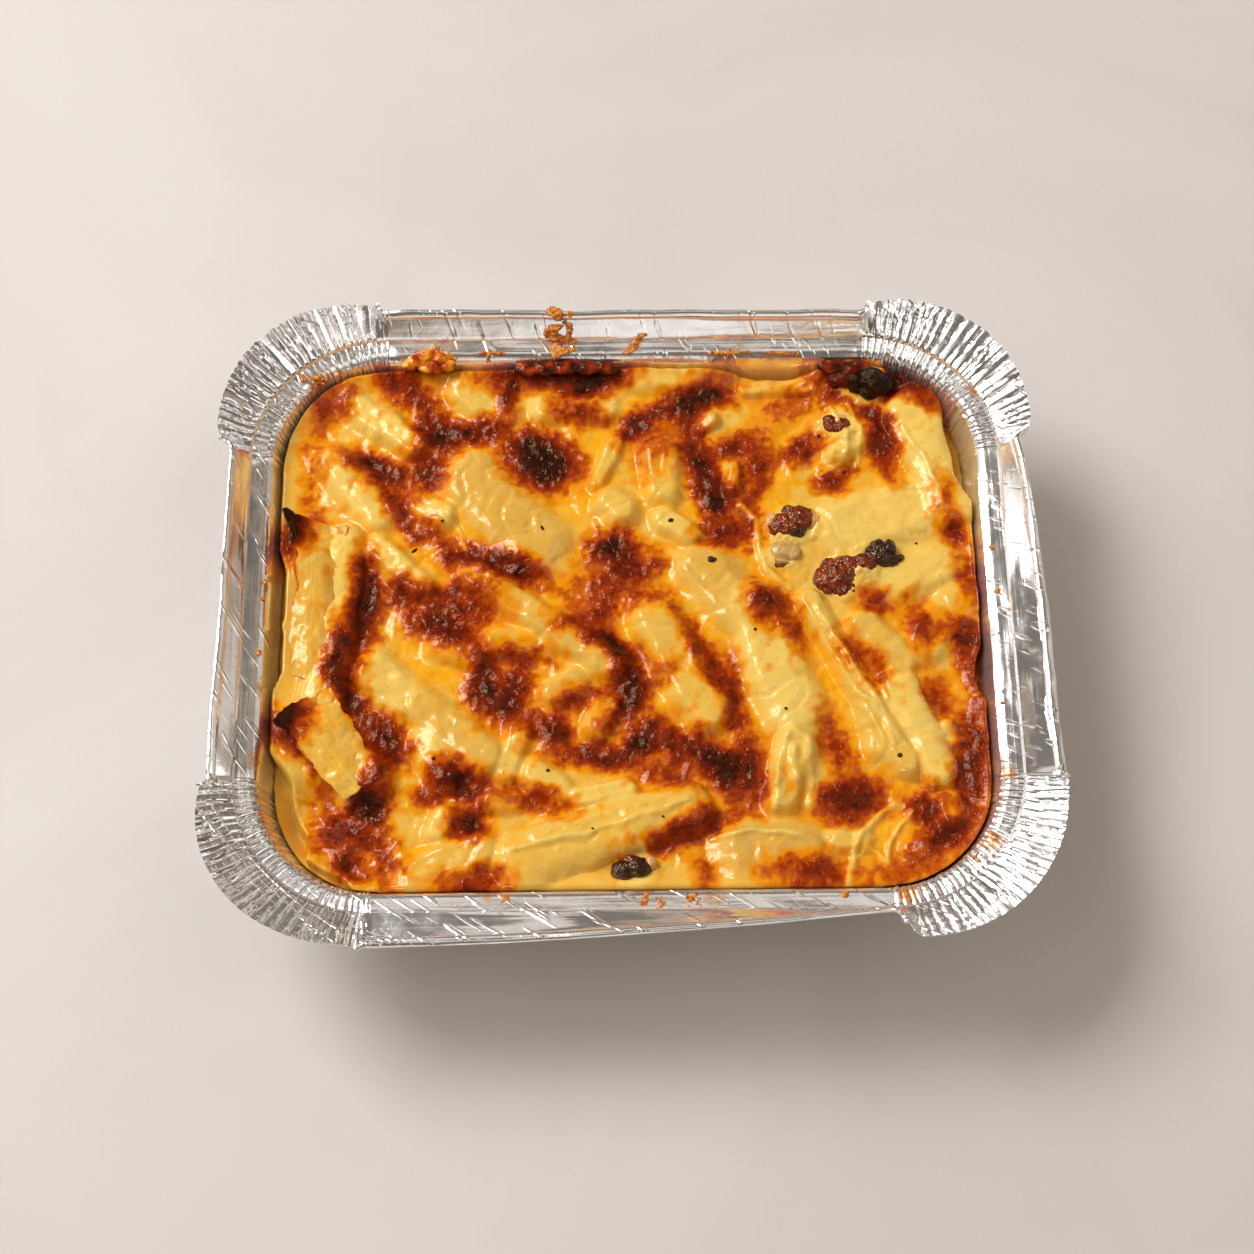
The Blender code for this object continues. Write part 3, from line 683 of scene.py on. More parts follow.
# Browned patches; one of them, a weak strip along the bake's left edge, is painted shade.
TOASTED_AND_EDGE_SHADE = (
    (-57, 66, 7.6, 4.0, -28, 0.78), (-49, 54, 6.9, 4.0, -58, 0.86), (-40, 53, 7.8, 3.2, 5, 0.9),
    (-50, 74, 4.3, 2.7, -12, 0.55), (-76, 61, 6.1, 2.5, 55, 0.66), (-66, 45, 6.4, 2.6, -20, 0.8),
    (-51, 43, 4.9, 3.4, -62, 0.8), (-59, 40, 12.0, 6.2, -28, 0.5), (-58, 31, 5.7, 1.8, -66, 0.74),
    (-52, 25, 2.4, 1.4, -22, 0.62), (-35, 16, 9.3, 2.5, -22, 0.74), (-45, 18, 4.4, 3.3, -62, 0.58),
    (-84, 23, 6.5, 4.6, 58, 0.72), (-65, 9, 6.7, 2.3, -81, 0.86), (-57, 8, 3.0, 2.5, -61, 0.72),
    # The second row on the next line, at (-81, 39), is painted shade along the bake's left edge, not
    # browning.
    (-44, 7, 7.5, 2.8, 5, 0.62), (-81, 39, 11.0, 2.3, 89, 0.4), (-17, 70, 16.8, 3.6, 3, 0.84),
    (-8, 67, 6.4, 2.7, 22, 0.98), (-30, 66, 3.9, 1.6, 89, 0.92), (-18, 71, 2.6, 1.5, 11, 0.96),
    (-11, 58, 4.7, 2.1, -5, 0.66), (-22, 45, 12.3, 9.9, -31, 0.97), (-20, 45, 6.5, 5.6, -39, 1.08),
    (3, 55, 4.8, 3.0, 53, 0.88), (17, 62, 11.2, 3.5, 22, 0.78), (21, 63, 4.2, 2.4, -1, 0.92),
    (20, 42, 14.9, 3.7, -75, 0.84), (23, 33, 4.3, 3.3, 89, 0.9), (28, 49, 5.3, 2.6, 27, 0.72),
    (8, 49, 11.6, 6.3, 67, 0.42), (-4, 19, 7.9, 5.6, 5, 0.72), (-3, 20, 2.5, 2.5, -1, 0.9),
    (-4, 10, 14.4, 6.0, 27, 0.56), (4, 14, 5.1, 3.3, 21, 0.62), (-27, 13, 5.6, 2.5, -17, 0.74),
    (26, 23, 6.4, 4.5, -12, 0.66), (34, 43, 7.6, 3.9, 89, 0.62), (31, 30, 7.4, 3.1, 89, 0.6),
    (43, 61, 9.1, 5.8, 22, 0.5), (64, 68, 11.0, 4.5, -12, 0.9), (56, 64, 7.9, 4.2, -24, 0.62),
    (46, 48, 5.2, 3.1, 32, 0.78), (67, 48, 6.6, 2.4, -75, 0.84), (64, 58, 5.0, 2.0, -56, 0.7),
    (53, 38, 2.3, 1.4, -1, 0.68), (57, 41, 2.1, 1.4, 27, 0.52), (78, 62, 5.9, 2.3, -40, 0.62),
    (82, 32, 5.4, 2.3, 89, 0.4), (84, 23, 1.7, 1.5, 89, 0.78), (87, 10, 7.2, 2.5, 89, 0.58),
    (68, 70, 6.9, 3.0, -29, 0.95), (-66, 2, 7.7, 2.8, 89, 0.86), (-70, -7, 3.0, 1.2, -74, 0.75),
    (-72, -12, 4.5, 1.8, 79, 0.82), (-69, -20, 7.2, 2.0, -59, 0.88), (-60, -32, 8.4, 5.2, -56, 0.76),
    (-61, -42, 6.1, 3.0, 74, 0.7), (-63, -49, 4.4, 4.1, -1, 0.9), (-36, -18, 7.2, 4.0, -85, 0.94),
    (-46, -3, 10.3, 4.8, -29, 0.86), (-44, 3, 12.1, 5.2, -6, 0.64), (-42, -43, 6.2, 3.8, -22, 0.97),
    (-39, -54, 4.5, 4.0, -32, 0.97), (-49, -47, 2.9, 1.8, -11, 0.62), (-30, -23, 5.3, 3.5, 89, 0.74),
    (-82, -30, 7.7, 3.8, -36, 0.88), (-77, -36, 3.1, 2.0, -51, 0.6), (-70, -56, 8.6, 7.3, -41, 0.6),
    (-68, -54, 4.4, 2.5, -21, 0.74), (-68, -64, 3.0, 1.9, -31, 0.8), (-59, -63, 6.8, 3.1, -80, 0.62),
    (-38, -69, 6.2, 2.7, 5, 0.72), (-75, -48, 5.6, 3.4, 89, 0.45), (-6, 1, 6.0, 4.3, 89, 0.6),
    (-4, -8, 4.3, 1.6, -28, 1.0), (0, -17, 5.3, 2.2, -75, 0.88), (0, -24, 5.1, 1.3, 43, 0.82),
    (-9, -21, 6.0, 1.6, 21, 0.66), (-19, -30, 4.8, 3.1, -37, 0.86), (-8, -37, 7.8, 2.3, -6, 0.8),
    (3, -33, 6.0, 2.6, 36, 0.82), (17, -36, 13.3, 3.4, -24, 0.76), (22, -39, 2.9, 2.3, -22, 0.8),
    (25, -43, 5.7, 4.9, 89, 0.72), (9, -42, 9.8, 4.7, -9, 0.55), (19, -10, 9.5, 2.1, -61, 0.7),
    (26, -23, 6.4, 1.7, -85, 0.72), (4, 5, 3.5, 1.9, -1, 0.66), (-13, -1, 4.0, 2.2, 10, 0.6),
    (-28, -20, 6.4, 3.7, 89, 0.78), (-26, -11, 6.0, 2.4, -1, 0.58), (14, -57, 9.3, 2.5, 25, 0.8),
    (-23, -48, 6.4, 2.3, -16, 0.62), (18, -66, 2.8, 2.2, 89, 0.5), (37, 2, 9.6, 6.8, -59, 0.46),
    (34, 4, 2.5, 1.5, -80, 0.76), (38, 3, 2.3, 1.9, -1, 0.55), (42, -5, 3.2, 2.0, -80, 0.6),
    (73, -3, 4.6, 2.3, -85, 0.66), (82, -4, 6.5, 4.1, -12, 0.56), (86, -8, 3.8, 3.5, 89, 0.66),
    (58, -11, 5.6, 2.9, -42, 0.58), (62, 4, 3.5, 2.8, -23, 0.64), (62, -19, 1.7, 1.6, -1, 0.55),
    (77, -22, 4.7, 2.3, -65, 0.6), (86, -15, 4.6, 2.5, 89, 0.6), (84, -40, 13.6, 3.4, 82, 0.86),
    (54, -49, 9.4, 5.6, 8, 0.86), (51, -35, 7.4, 3.0, -78, 0.62), (30, -41, 9.3, 4.2, -85, 0.72),
    (72, -51, 4.6, 4.4, 89, 0.8), (76, -58, 6.4, 3.5, 18, 0.86), (43, -67, 9.1, 3.3, -1, 0.64),
    (66, -66, 10.7, 3.0, 14, 0.52),
)
OILY = (
    (-59, 40, 13.4, 6.2, -28, 0.7), (-58, 55, 8.0, 2.3, -23, 0.7), (-47, 33, 11.3, 3.1, -57, 0.8),
    (-57, 20, 10.6, 6.0, -33, 0.7), (-44, 28, 10.1, 2.1, -57, 0.9), (-13, 35, 10.5, 6.2, 27, 0.9),
    (10, 41, 13.3, 6.7, 89, 0.95), (-6, 50, 8.5, 3.2, 56, 0.7), (4, 66, 5.4, 3.5, 33, 0.4),
    (16, 26, 7.7, 5.1, -1, 0.7), (-7, 7, 15.4, 7.1, 26, 0.8), (8, 4, 9.5, 5.3, 42, 0.9),
    (43, 56, 15.3, 10.8, 32, 0.85), (36, 35, 9.8, 7.2, 89, 0.9), (66, 43, 8.7, 6.2, 89, 0.5),
    (78, 31, 9.5, 3.7, -69, 0.5), (37, 2, 12.3, 7.8, -59, 0.9), (47, -13, 9.4, 4.1, -61, 1.0),
    (-70, 16, 7.3, 3.5, -79, 0.7), (-29, -4, 8.6, 5.4, -22, 0.85), (-47, -13, 10.3, 3.7, -32, 0.8),
    (-54, -20, 11.4, 3.6, -37, 0.7), (-69, -34, 10.5, 2.4, -58, 0.5), (-36, -32, 5.9, 3.2, -1, 0.6),
    (-27, -9, 6.5, 4.9, -1, 0.7), (4, -7, 10.8, 4.0, -69, 0.7), (16, -2, 9.2, 4.8, -33, 0.7),
    (18, -26, 9.9, 3.7, -11, 0.6), (7, -44, 12.2, 5.7, -6, 0.8), (-28, -38, 7.8, 3.4, 89, 0.5),
    (-27, -61, 9.6, 5.0, 20, 0.6), (-17, -49, 9.7, 3.1, -1, 0.5), (17, -53, 12.2, 3.0, 20, 0.6),
    (58, -12, 10.1, 4.8, -42, 0.7), (69, -18, 9.9, 3.8, -23, 0.5), (77, -24, 10.3, 4.6, -65, 0.6),
    (50, -29, 8.8, 5.0, -70, 0.9), (61, -50, 10.7, 7.7, -1, 0.9), (58, -63, 12.1, 4.5, 10, 0.8),
    (-44, -49, 9.7, 6.2, -1, 0.5), (-46, -61, 11.0, 3.0, 18, 0.7), (-73, -48, 10.4, 6.2, -69, 0.6),
    (39, -44, 8.7, 3.4, -80, 0.8), (30, 67, 15.7, 2.4, -1, 0.8), (80, -47, 10.3, 4.4, 89, 0.5),
    (-17, -1, 7.6, 3.8, -22, 0.6), (64, 3, 10.0, 3.3, -23, 0.4), (-7, -23, 6.5, 6.3, 31, 0.7),
)
print(len(PIECES), "pieces,", len(TOASTED_AND_EDGE_SHADE), "browned patches,", len(OILY), "oily patches")

# %% [markdown]
# Each table row becomes a soft shape on the plan. The plan is first shaken a little by noise, so
# that no edge is a true ellipse.

# %% From tables to fields
shaken = plan.copy()
shaken[:, 0] += 1.5 * bumps(plan, 6.0, 1.0) + 0.8 * bumps(plan, 2.0, 2.0)
shaken[:, 1] += 1.5 * bumps(plan, 6.0, 5.0) + 0.8 * bumps(plan, 2.0, 6.0)


def patch_distance(row):
    """Signed distance from a leaning ellipse's edge, in millimetres, less than 0 inside it."""
    middle_x, middle_y, half_long, half_wide, lean, _ = row
    turn = math.radians(lean)
    dx, dy = shaken[:, 0] - middle_x, shaken[:, 1] - middle_y
    along = (dx * math.cos(turn) + dy * math.sin(turn)) / half_long
    across = (-dx * math.sin(turn) + dy * math.cos(turn)) / half_wide
    return (np.hypot(along, across) - 1.0) * half_wide


# The browned patches add up here, with the painted shade of the left-edge strip.
toast_and_edge_shade = np.zeros(len(plan))
for row in TOASTED_AND_EDGE_SHADE:
    patch = row[5] * ease(5.0, -0.8 * row[3] - 1.0, patch_distance(row))
    toast_and_edge_shade = np.maximum(toast_and_edge_shade, patch) + 0.30 * np.minimum(toast_and_edge_shade, patch)
toast_and_edge_shade += 0.10 * ease(-0.2, 0.8, bumps(plan, 9.0, 12.0)) + 0.17 * bumps(plan, 3.0, 14.0)
toast_and_edge_shade += 0.14 * bumps(plan, 1.3, 16.0) * ease(0.1, 0.4, toast_and_edge_shade)
oil = np.zeros(len(plan))
for row in OILY:
    oil = np.maximum(oil, row[5] * ease(3.5, -0.8 * row[3], patch_distance(row)))
print("browned share", round(float((toast_and_edge_shade > 0.5).mean()), 2))
print("oily share", round(float((oil > 0.4).mean()), 2))

# %% [markdown]
# Heights: each piece of pasta has a rounded, slightly flattened back, softened by melted cheese
# apart from a few crisp ones. Where two meet, the higher one wins, with a little melting between.
# Each also gets a tone by chance, creamy, plain or beige.

# %% Raise the pasta
BED_HEIGHT = 33.4
MELT = 0.6
CRISP = ((-74, 0), (-6, -57), (-83, 18), (80, 44), (72, -30))

wobble_x = plan[:, 0] + 0.9 * bumps(plan, 7.0, 50.0)
wobble_y = plan[:, 1] + 0.9 * bumps(plan, 7.0, 54.0)


def to_segment(x0, y0, x1, y1):
    """Each plan point's share of the way along a segment, and its distance from it."""
    run_x, run_y = x1 - x0, y1 - y0
    along = ((wobble_x - x0) * run_x + (wobble_y - y0) * run_y) / (run_x ** 2 + run_y ** 2)
    near = np.clip(along, 0.0, 1.0)
    return near, np.hypot(wobble_x - x0 - near * run_x, wobble_y - y0 - near * run_y)


raised = np.zeros(len(plan))
cream = np.zeros(len(plan))
beige = np.zeros(len(plan))
for index, (x0, y0, x1, y1, width, rise) in enumerate(PIECES):
    near, away = to_segment(x0, y0, x1, y1)
    away /= width / 2
    chance = random.Random(index)
    slope = 1.0 + chance.uniform(-0.3, 0.3) * (2.0 * near - 1.0)
    crisp = any(math.hypot((x0 + x1) / 2 - cx, (y0 + y1) / 2 - cy) < 6.0 for cx, cy in CRISP)
    rounded = np.clip(1.0 - np.clip(away, 0.0, 1.0) ** 3.0, 0.0, 1.0) ** 0.62
    melted = ease(1.15, 0.4, away)
    back = slope * rise * (rounded if crisp else 0.8 * melted)
    raised += np.exp(back / MELT) - 1.0
    tone = chance.uniform(0.0, 1.0)
    cream = np.maximum(cream, melted * ease(0.3, 0.9, tone))
    beige = np.maximum(beige, melted * ease(0.32, 0.0, tone))
raised = MELT * np.log(1.0 + raised)
print("pasta stands up to", round(raised.max(), 1), "mm over its bed")

# %% [markdown]
# Thin ridges are the rims of open tubes and the folds of sheets. Each is a width, a height and a
# path. Their backs are pale, because the cheese has run off them.

# %% Ridges and first height
RIDGES = (
    (3.6, 1.7, ((35.9, -50.6), (35.8, -45.0), (36.2, -38.5), (38.0, -33.8), (40.9, -32.0), (43.8, -34.0),
                (44.9, -41.3), (44.3, -49.6))),
    (2.7, 1.3, ((40.6, -36.2), (40.4, -39.5), (40.6, -44.0))),
    (1.9, 1.5, ((64.6, -49.6), (60.8, -53.2), (56.2, -57.6), (53.8, -62.6), (52.4, -67.2), (51.8, -69.6))),
    (1.4, 1.0, ((54.6, -63.3), (57.0, -61.6), (59.9, -62.0), (61.9, -64.6))),
    (1.5, 1.1, ((61.9, -64.4), (63.2, -59.4), (65.8, -55.2), (69.0, -51.6))),
    (1.5, 0.9, ((55.4, -21.4), (59.8, -24.2), (63.2, -29.6), (65.0, -35.4))),
    (1.3, 0.7, ((56.0, -24.6), (59.0, -27.4), (61.4, -31.6), (62.2, -36.0))),
    (2.0, 1.1, ((29.0, 31.0), (33.0, 27.0), (33.5, 20.0), (36.0, 12.0), (41.0, 8.0))),
    (1.6, 0.9, ((-46.0, 29.0), (-42.5, 24.5), (-40.5, 19.5))),
    (1.8, 0.9, ((54.0, 60.0), (58.0, 52.0), (57.0, 44.0), (51.0, 40.0))),
    (1.6, 0.8, ((58.6, 61.0), (61.8, 52.6), (60.6, 43.6))),
    (1.8, 0.8, ((-28.0, -62.0), (-12.0, -57.8), (4.0, -53.6), (14.0, -49.8))),
    (1.5, 0.8, ((46.8, 2.0), (53.0, -9.0), (60.0, -22.0), (66.0, -34.0))),
    (1.5, 0.7, ((50.2, 3.0), (57.0, -10.0), (64.0, -24.0))),
    (1.8, 0.8, ((20.0, -58.5), (30.0, -56.6), (41.0, -58.6))),
    (1.5, 0.8, ((72.0, 53.0), (78.0, 40.0), (81.0, 30.0))),
)

ridged = np.zeros(len(plan))
for width, rise, path in RIDGES:
    away = np.full(len(plan), 99.0)
    for start, end in zip(path, path[1:]):
        away = np.minimum(away, to_segment(*start, *end)[1])
    ridged = np.maximum(ridged, 0.8 * rise * np.exp(-(away / (0.42 * width)) ** 2))
cream = np.maximum(cream, 0.8 * ease(0.1, 0.7, ridged))
toast_and_edge_shade *= 1.0 - 0.5 * ease(0.1, 0.7, ridged)
ridged *= 1.0 + 0.55 * bumps(plan, 2.8, 92.0)
dome = 2.2 * (1.0 - (plan[:, 0] / 92.0) ** 2) * (1.0 - (plan[:, 1] / 76.0) ** 2)
height = BED_HEIGHT + np.maximum(dome, 0.0) + raised + ridged
height += 0.55 * bumps(plan, 8.0, 60.0) + 0.13 * bumps(plan, 2.6, 64.0)
height += 0.09 * bumps(plan, 1.5, 68.0)
height -= 0.3 * ease(0.2, 0.0, np.abs(bumps(shaken, 9.0, 66.0))) * (1.0 - ease(0.3, 0.7, toast_and_edge_shade))
print("bed and pasta reach", round(height.max(), 1), "mm")

# %% [markdown]
# Then what the heat did. Browned cheese blisters into crumbly lumps, oil lies low, wet spots have
# boiled, and a collar of bubbled cheese stands round each bit of meat. At the wall the bake
# has a height of its own, and has drawn away or sunk at some places.

# %% Blisters, collars and edge
WET = ((62, -58, 5.0), (42, 31, 5.0), (-8, 22, 4.0), (60, -30, 5.0), (-46, 27, 4.0), (2, -52, 5.0),
       (68, 62, 4.0))
COLLARS = ((42.6, 25.9, 4.6), (54.6, 10.8, 4.6), (61.0, 14.2, 3.0), (39.6, 17.6, 3.4),
           (55.4, 54.6, 3.6), (1.6, -65.6, 3.6), (62.5, 66.6, 5.0))
GAPS = ((-89, 8, 14.0, 1.7), (-89, -8, 12.0, 1.7), (-84, -50, 17.0, 5.5), (88, 46, 16.0, 3.4),
        (91, -16, 9.0, 1.8), (40, 73, 14.0, 1.0), (-74, -66, 9.0, 1.6))
SUNK = ((38, 74, 18.0, 2.6), (-76, -50, 12.0, 4.0), (-64, -62, 8.0, 2.0))
EDGE_HEIGHT = 36.8

brown = ease(0.3, 0.85, toast_and_edge_shade)
crumbs = 0.5 * bumps(plan, 2.6, 70.0) - 0.6 * np.abs(bumps(plan, 1.8, 74.0))
crumbs += 0.12 * bumps(plan, 1.0, 78.0)
height += brown * (crumbs + 0.5)
height -= 0.5 * oil * (1.0 - ease(0.0, 2.5, raised))
boiled = 0.45 * np.abs(bumps(plan, 2.2, 86.0))
for wet_place in WET:
    height += boiled * spot(plan, *wet_place, 0.3)
bubbling = bumps(plan, 1.7, 90.0)
for ring_x, ring_y, ring_mm in COLLARS:
    off_ring = np.maximum(np.hypot(shaken[:, 0] - ring_x, shaken[:, 1] - ring_y) - ring_mm, 0.0)
    height += 0.8 * np.exp(-(off_ring / 1.6) ** 2)
    height += 0.7 * np.exp(-((off_ring - 1.0) / 1.3) ** 2) * np.abs(bubbling)
    cream = np.maximum(cream, 0.9 * np.exp(-(off_ring / 1.2) ** 2))
    toast_and_edge_shade *= 1.0 - 0.75 * np.exp(-(off_ring / 1.1) ** 2)
core_x, core_y, core_reach = about_corners(plan)
to_wall = BAKE_RADIUS - core_reach
gap = -0.9 + 1.4 * bumps(plan, 4.0, 80.0)
for gap_x, gap_y, reach_mm, wide in GAPS:
    gap = np.maximum(gap, wide * spot(plan, gap_x, gap_y, reach_mm, 0.4))
sunk = sum(deep * spot(plan, *place) for *place, deep in SUNK)
far_side = ease(50.0, 68.0, plan[:, 1])
left_side = ease(-78.0, -86.0, plan[:, 0])
near_side = ease(-60.0, -69.0, plan[:, 1])
edge_height = EDGE_HEIGHT + 1.9 * far_side + 0.8 * near_side - 1.2 * left_side
edge_height += 0.7 * bumps(plan, 6.0, 82.0) - sunk
height -= sunk
height += (edge_height - height) * 0.85 * np.exp(-np.maximum(to_wall, 0.0) / 3.0)
height -= 7.0 * ease(gap + 0.9, gap - 0.5, to_wall)
proud = ease(0.4, 2.6, raised)
golden = oil * (1.0 - 0.55 * proud) + 0.3 * (1.0 - proud) + 0.22 * bumps(plan, 3.4, 84.0)
golden = ease(0.1, 0.9, golden + 0.5 * ease(0.0, 0.35, toast_and_edge_shade))
print("top runs from", round(height.min(), 1), "to", round(height.max(), 1), "mm")

# %% [markdown]
# The blank's points go to their heights, the edge follows the wall's slope, and the edge is then
# pulled down to the tray's floor and closed, so that the bake is a solid like the one it stands
# for.

# %% Close the bake
def wall_radius(z):
    """Radius of the foil's inside face at a height."""
    slope = (WALL_TOP[0] - FOOT[0]) / (WALL_TOP[1] - FOOT[1])
    return FOOT[0] + (np.minimum(z, WALL_TOP[1]) - FOOT[1]) * slope - 0.2


def pulled_in(points):
    """Draw points in where they would pass the wall, or a corner's pleats, at their height."""
    core_x, core_y, out = about_corners(points)
    pleated = (np.abs(points[:, 0]) > CORNER_X) & (np.abs(points[:, 1]) > CORNER_Y)
    most = wall_radius(points[:, 2]) - BAKE_GAP - 0.4 * pleated
    share = np.where(out > most, most / np.maximum(out, 0.001), 1.0)
    points[:, 0] = core_x + (points[:, 0] - core_x) * share
    points[:, 1] = core_y + (points[:, 1] - core_y) * share
    return points


HALF_DEPTH = 18.0
BAKE_BASE = 0.75
wall_share = (wall_radius(height) - BAKE_GAP - BAKE_RADIUS) / BAKE_RADIUS
stretch = np.where(core_reach > 20.0, 1.0 + wall_share * ease(4.0, 0.0, to_wall), 1.0)
reached_x = core_x + (plan[:, 0] - core_x) * stretch
reached_y = core_y + (plan[:, 1] - core_y) * stretch
top = pulled_in(np.column_stack((reached_x, reached_y, height)))
place_points(bake, top)
store(bake, "toast_and_edge_shade", toast_and_edge_shade)
store(bake, "golden", golden)
store(bake, "cream", cream + 0.25 * bumps(plan, 5.0, 88.0))
store(bake, "beige", beige)


def pull_edge_down(piece, radius, z):
    """Extrude the open edge and set it on a ring of this radius and height."""
    bpy.ops.object.mode_set(mode="EDIT")
    bpy.ops.mesh.extrude_region_move(TRANSFORM_OT_translate={"value": (0.0, 0.0, -0.001)})
    bpy.ops.object.mode_set(mode="OBJECT")
    points = points_of(piece)
    chosen = np.array([v.select for v in piece.data.vertices])
    core_x, core_y, out = about_corners(points)
    out = np.maximum(out, 0.001)
    ring_x = core_x + (points[:, 0] - core_x) / out * radius
    ring_y = core_y + (points[:, 1] - core_y) / out * radius
    points[:, 0] = np.where(chosen, ring_x, points[:, 0])
    points[:, 1] = np.where(chosen, ring_y, points[:, 1])
    points[:, 2] = np.where(chosen, z, points[:, 2])
    place_points(piece, points)


bpy.ops.object.mode_set(mode="EDIT")
bpy.ops.mesh.select_mode(type="EDGE")
bpy.ops.mesh.select_all(action="DESELECT")
bpy.ops.mesh.select_non_manifold()
bpy.ops.object.mode_set(mode="OBJECT")
for edge_z in (HALF_DEPTH, FOOT[1] + BAKE_GAP):
    pull_edge_down(bake, float(wall_radius(edge_z)) - BAKE_GAP, edge_z)
pull_edge_down(bake, FLOOR_RADIUS, BAKE_BASE)
close_ring()
bpy.ops.object.shade_smooth()
print("bake faces", len(bake.data.polygons))

# %% [markdown]
# One finish carries the whole top. Its base goes from creamy cheese on raised pasta to golden oil
# in the hollows. The browning value, broken up by fine grain, then takes it through amber, orange
# brown and red brown to char. A clear coat stands for the fat, smooth where the rest is bumped,
# broken up by fine grain, and thin where the cheese is seared. Each step of browning is where
# it begins, where it is full, and its colour.

# %% Bake finish
BROWNING = ((0.08, 0.28, (230, 142, 12)), (0.26, 0.45, (190, 84, 8)), (0.44, 0.62, (148, 46, 6)),
            (0.62, 0.82, (102, 26, 6)), (0.84, 1.04, (52, 13, 5)), (1.15, 1.4, (34, 10, 5)))
cheese = Finish("browned_cheese", specular_ior_level=0.22, specular_tint=(1.0, 0.55, 0.24, 1.0),
                coat_ior=1.5, coat_roughness=0.08)
speck = cheese.grain(0.9, 1.0, 0.6, 0.3)
dust = cheese.grain(0.35, 1.0, 0.6)
# The browning attribute also carries the weak strip of painted shade along the bake's left edge.
browning = cheese.attribute("toast_and_edge_shade")
seared = browning.eased(0.2, 0.7)
heat = browning + (speck - 0.5) * (0.08 + seared * 0.12)
cloud = cheese.grain(4.5, 2.0, 0.55, 0.4)
golden = cheese.attribute("golden") + (speck - 0.5) * 0.2 + (cloud - 0.5) * 1.3
paint = cheese.mix(golden, colour(230, 184, 80), colour(240, 168, 18))
paint = cheese.mix(cheese.attribute("beige") * (1.1 - cloud), paint, colour(208, 156, 66))
paint = cheese.mix(cheese.attribute("cream") * (1.2 - cloud), paint, colour(242, 208, 108))
paint = cheese.mix(speck.eased(0.70, 0.76) * 0.45, paint, colour(178, 96, 24))
for begins, full, tone in BROWNING:
    paint = cheese.mix(heat.eased(begins, full), paint, colour(*tone))
frill = cheese.cells(1.1)
film = (speck * 0.4 + dust * 0.6).eased(0.45, 0.55, 0.15, 1.0)
blisters = speck * (0.2 + seared * 0.6) - frill * (0.04 + seared * 0.48)
cheese.set(base_color=paint, roughness=0.22 - seared * 0.10,
           coat_weight=(0.8 - seared * 0.6) * film, normal=cheese.bump(blisters, 0.32))
bake.data.materials.clear()
bake.data.materials.append(cheese.material)
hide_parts("pasta_bake")
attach(bake, "root")
print("the bake wears", cheese.material.name)

# %% [markdown]
# The bits that sit in the cheese. Each is several balls pushed together, fused into one skin by a
# voxel remesh, and then roughened along its normals. That gives the crumbly, overhanging look of
# meat that fried where it stood clear of the cheese. Each lump is noted as meat, char or fat, and
# its neighbourhood takes that colour.

# %% Lumps of the bits
MEAT, CHAR, FAT = 0, 1, 2
LUMPS = {
    "meat_bit_far": (
        (40.2, 25.2, 0.2, 3.9, 3.3, 2.3, MEAT), (44.4, 26.9, 0.3, 4.1, 3.3, 2.4, MEAT),
        (43.6, 23.4, 0.1, 2.6, 1.9, 1.9, CHAR), (47.5, 26.5, -0.2, 2.1, 2.4, 1.6, FAT),
        (38.0, 26.0, -0.4, 2.0, 2.6, 1.8, FAT), (42.2, 29.0, -0.1, 2.4, 1.5, 1.7, MEAT),
    ),
    "meat_bit_long": (
        (51.2, 9.9, 0.1, 4.0, 4.1, 2.3, MEAT), (55.8, 12.6, 0.5, 4.4, 3.5, 2.6, MEAT),
        (54.8, 7.4, 0.0, 3.4, 2.6, 2.0, MEAT), (59.8, 13.6, 0.7, 3.4, 2.8, 2.4, MEAT),
        (52.0, 13.4, 0.0, 3.0, 2.2, 2.0, MEAT), (53.6, 10.4, 0.4, 4.6, 3.6, 2.6, MEAT),
        (64.2, 16.6, 1.1, 3.4, 3.3, 2.5, CHAR), (66.6, 17.6, 1.3, 2.0, 2.2, 2.0, CHAR),
        (69.4, 15.3, 0.9, 1.4, 1.0, 1.0, CHAR), (66.6, 14.6, 0.7, 2.0, 1.5, 1.5, CHAR),
        (59.6, 9.4, -0.3, 2.2, 1.6, 1.3, FAT),
    ),
    "meat_bit_near": (
        (-1.6, -66.4, 0.4, 3.0, 2.5, 2.4, CHAR), (1.8, -65.8, 0.5, 3.4, 2.6, 2.6, CHAR),
        (4.9, -64.6, 0.6, 1.7, 1.5, 1.7, FAT), (0.3, -64.4, 0.3, 3.2, 1.8, 2.0, MEAT),
    ),
    "meat_bit_covered": (
        (53.9, 54.8, 0.0, 2.6, 2.8, 1.8, MEAT), (56.6, 54.4, 0.1, 2.7, 2.5, 1.8, MEAT),
        (57.6, 52.4, -0.2, 2.2, 1.9, 1.5, FAT), (56.4, 56.8, -0.2, 2.6, 1.3, 1.5, FAT),
    ),
    "charred_bit": (
        (57.4, 67.6, 0.1, 3.1, 2.6, 2.5, MEAT), (61.4, 66.6, 0.3, 2.9, 2.6, 2.5, CHAR),
        (65.2, 66.2, 1.2, 3.7, 3.3, 2.8, CHAR), (63.6, 69.2, 0.5, 2.8, 1.6, 1.9, CHAR),
        (68.6, 64.9, 0.4, 2.2, 2.1, 1.9, CHAR), (64.0, 63.6, 0.2, 2.6, 1.7, 1.6, CHAR),
    ),
    "mushroom_bit": (
        (39.8, 18.3, 0.0, 3.6, 2.9, 1.9, FAT), (42.4, 17.6, -0.1, 2.0, 2.4, 1.6, FAT),
        (38.8, 14.6, -0.3, 3.0, 1.3, 1.2, MEAT), (36.9, 15.8, -0.4, 1.6, 1.2, 1.1, CHAR),
    ),
}
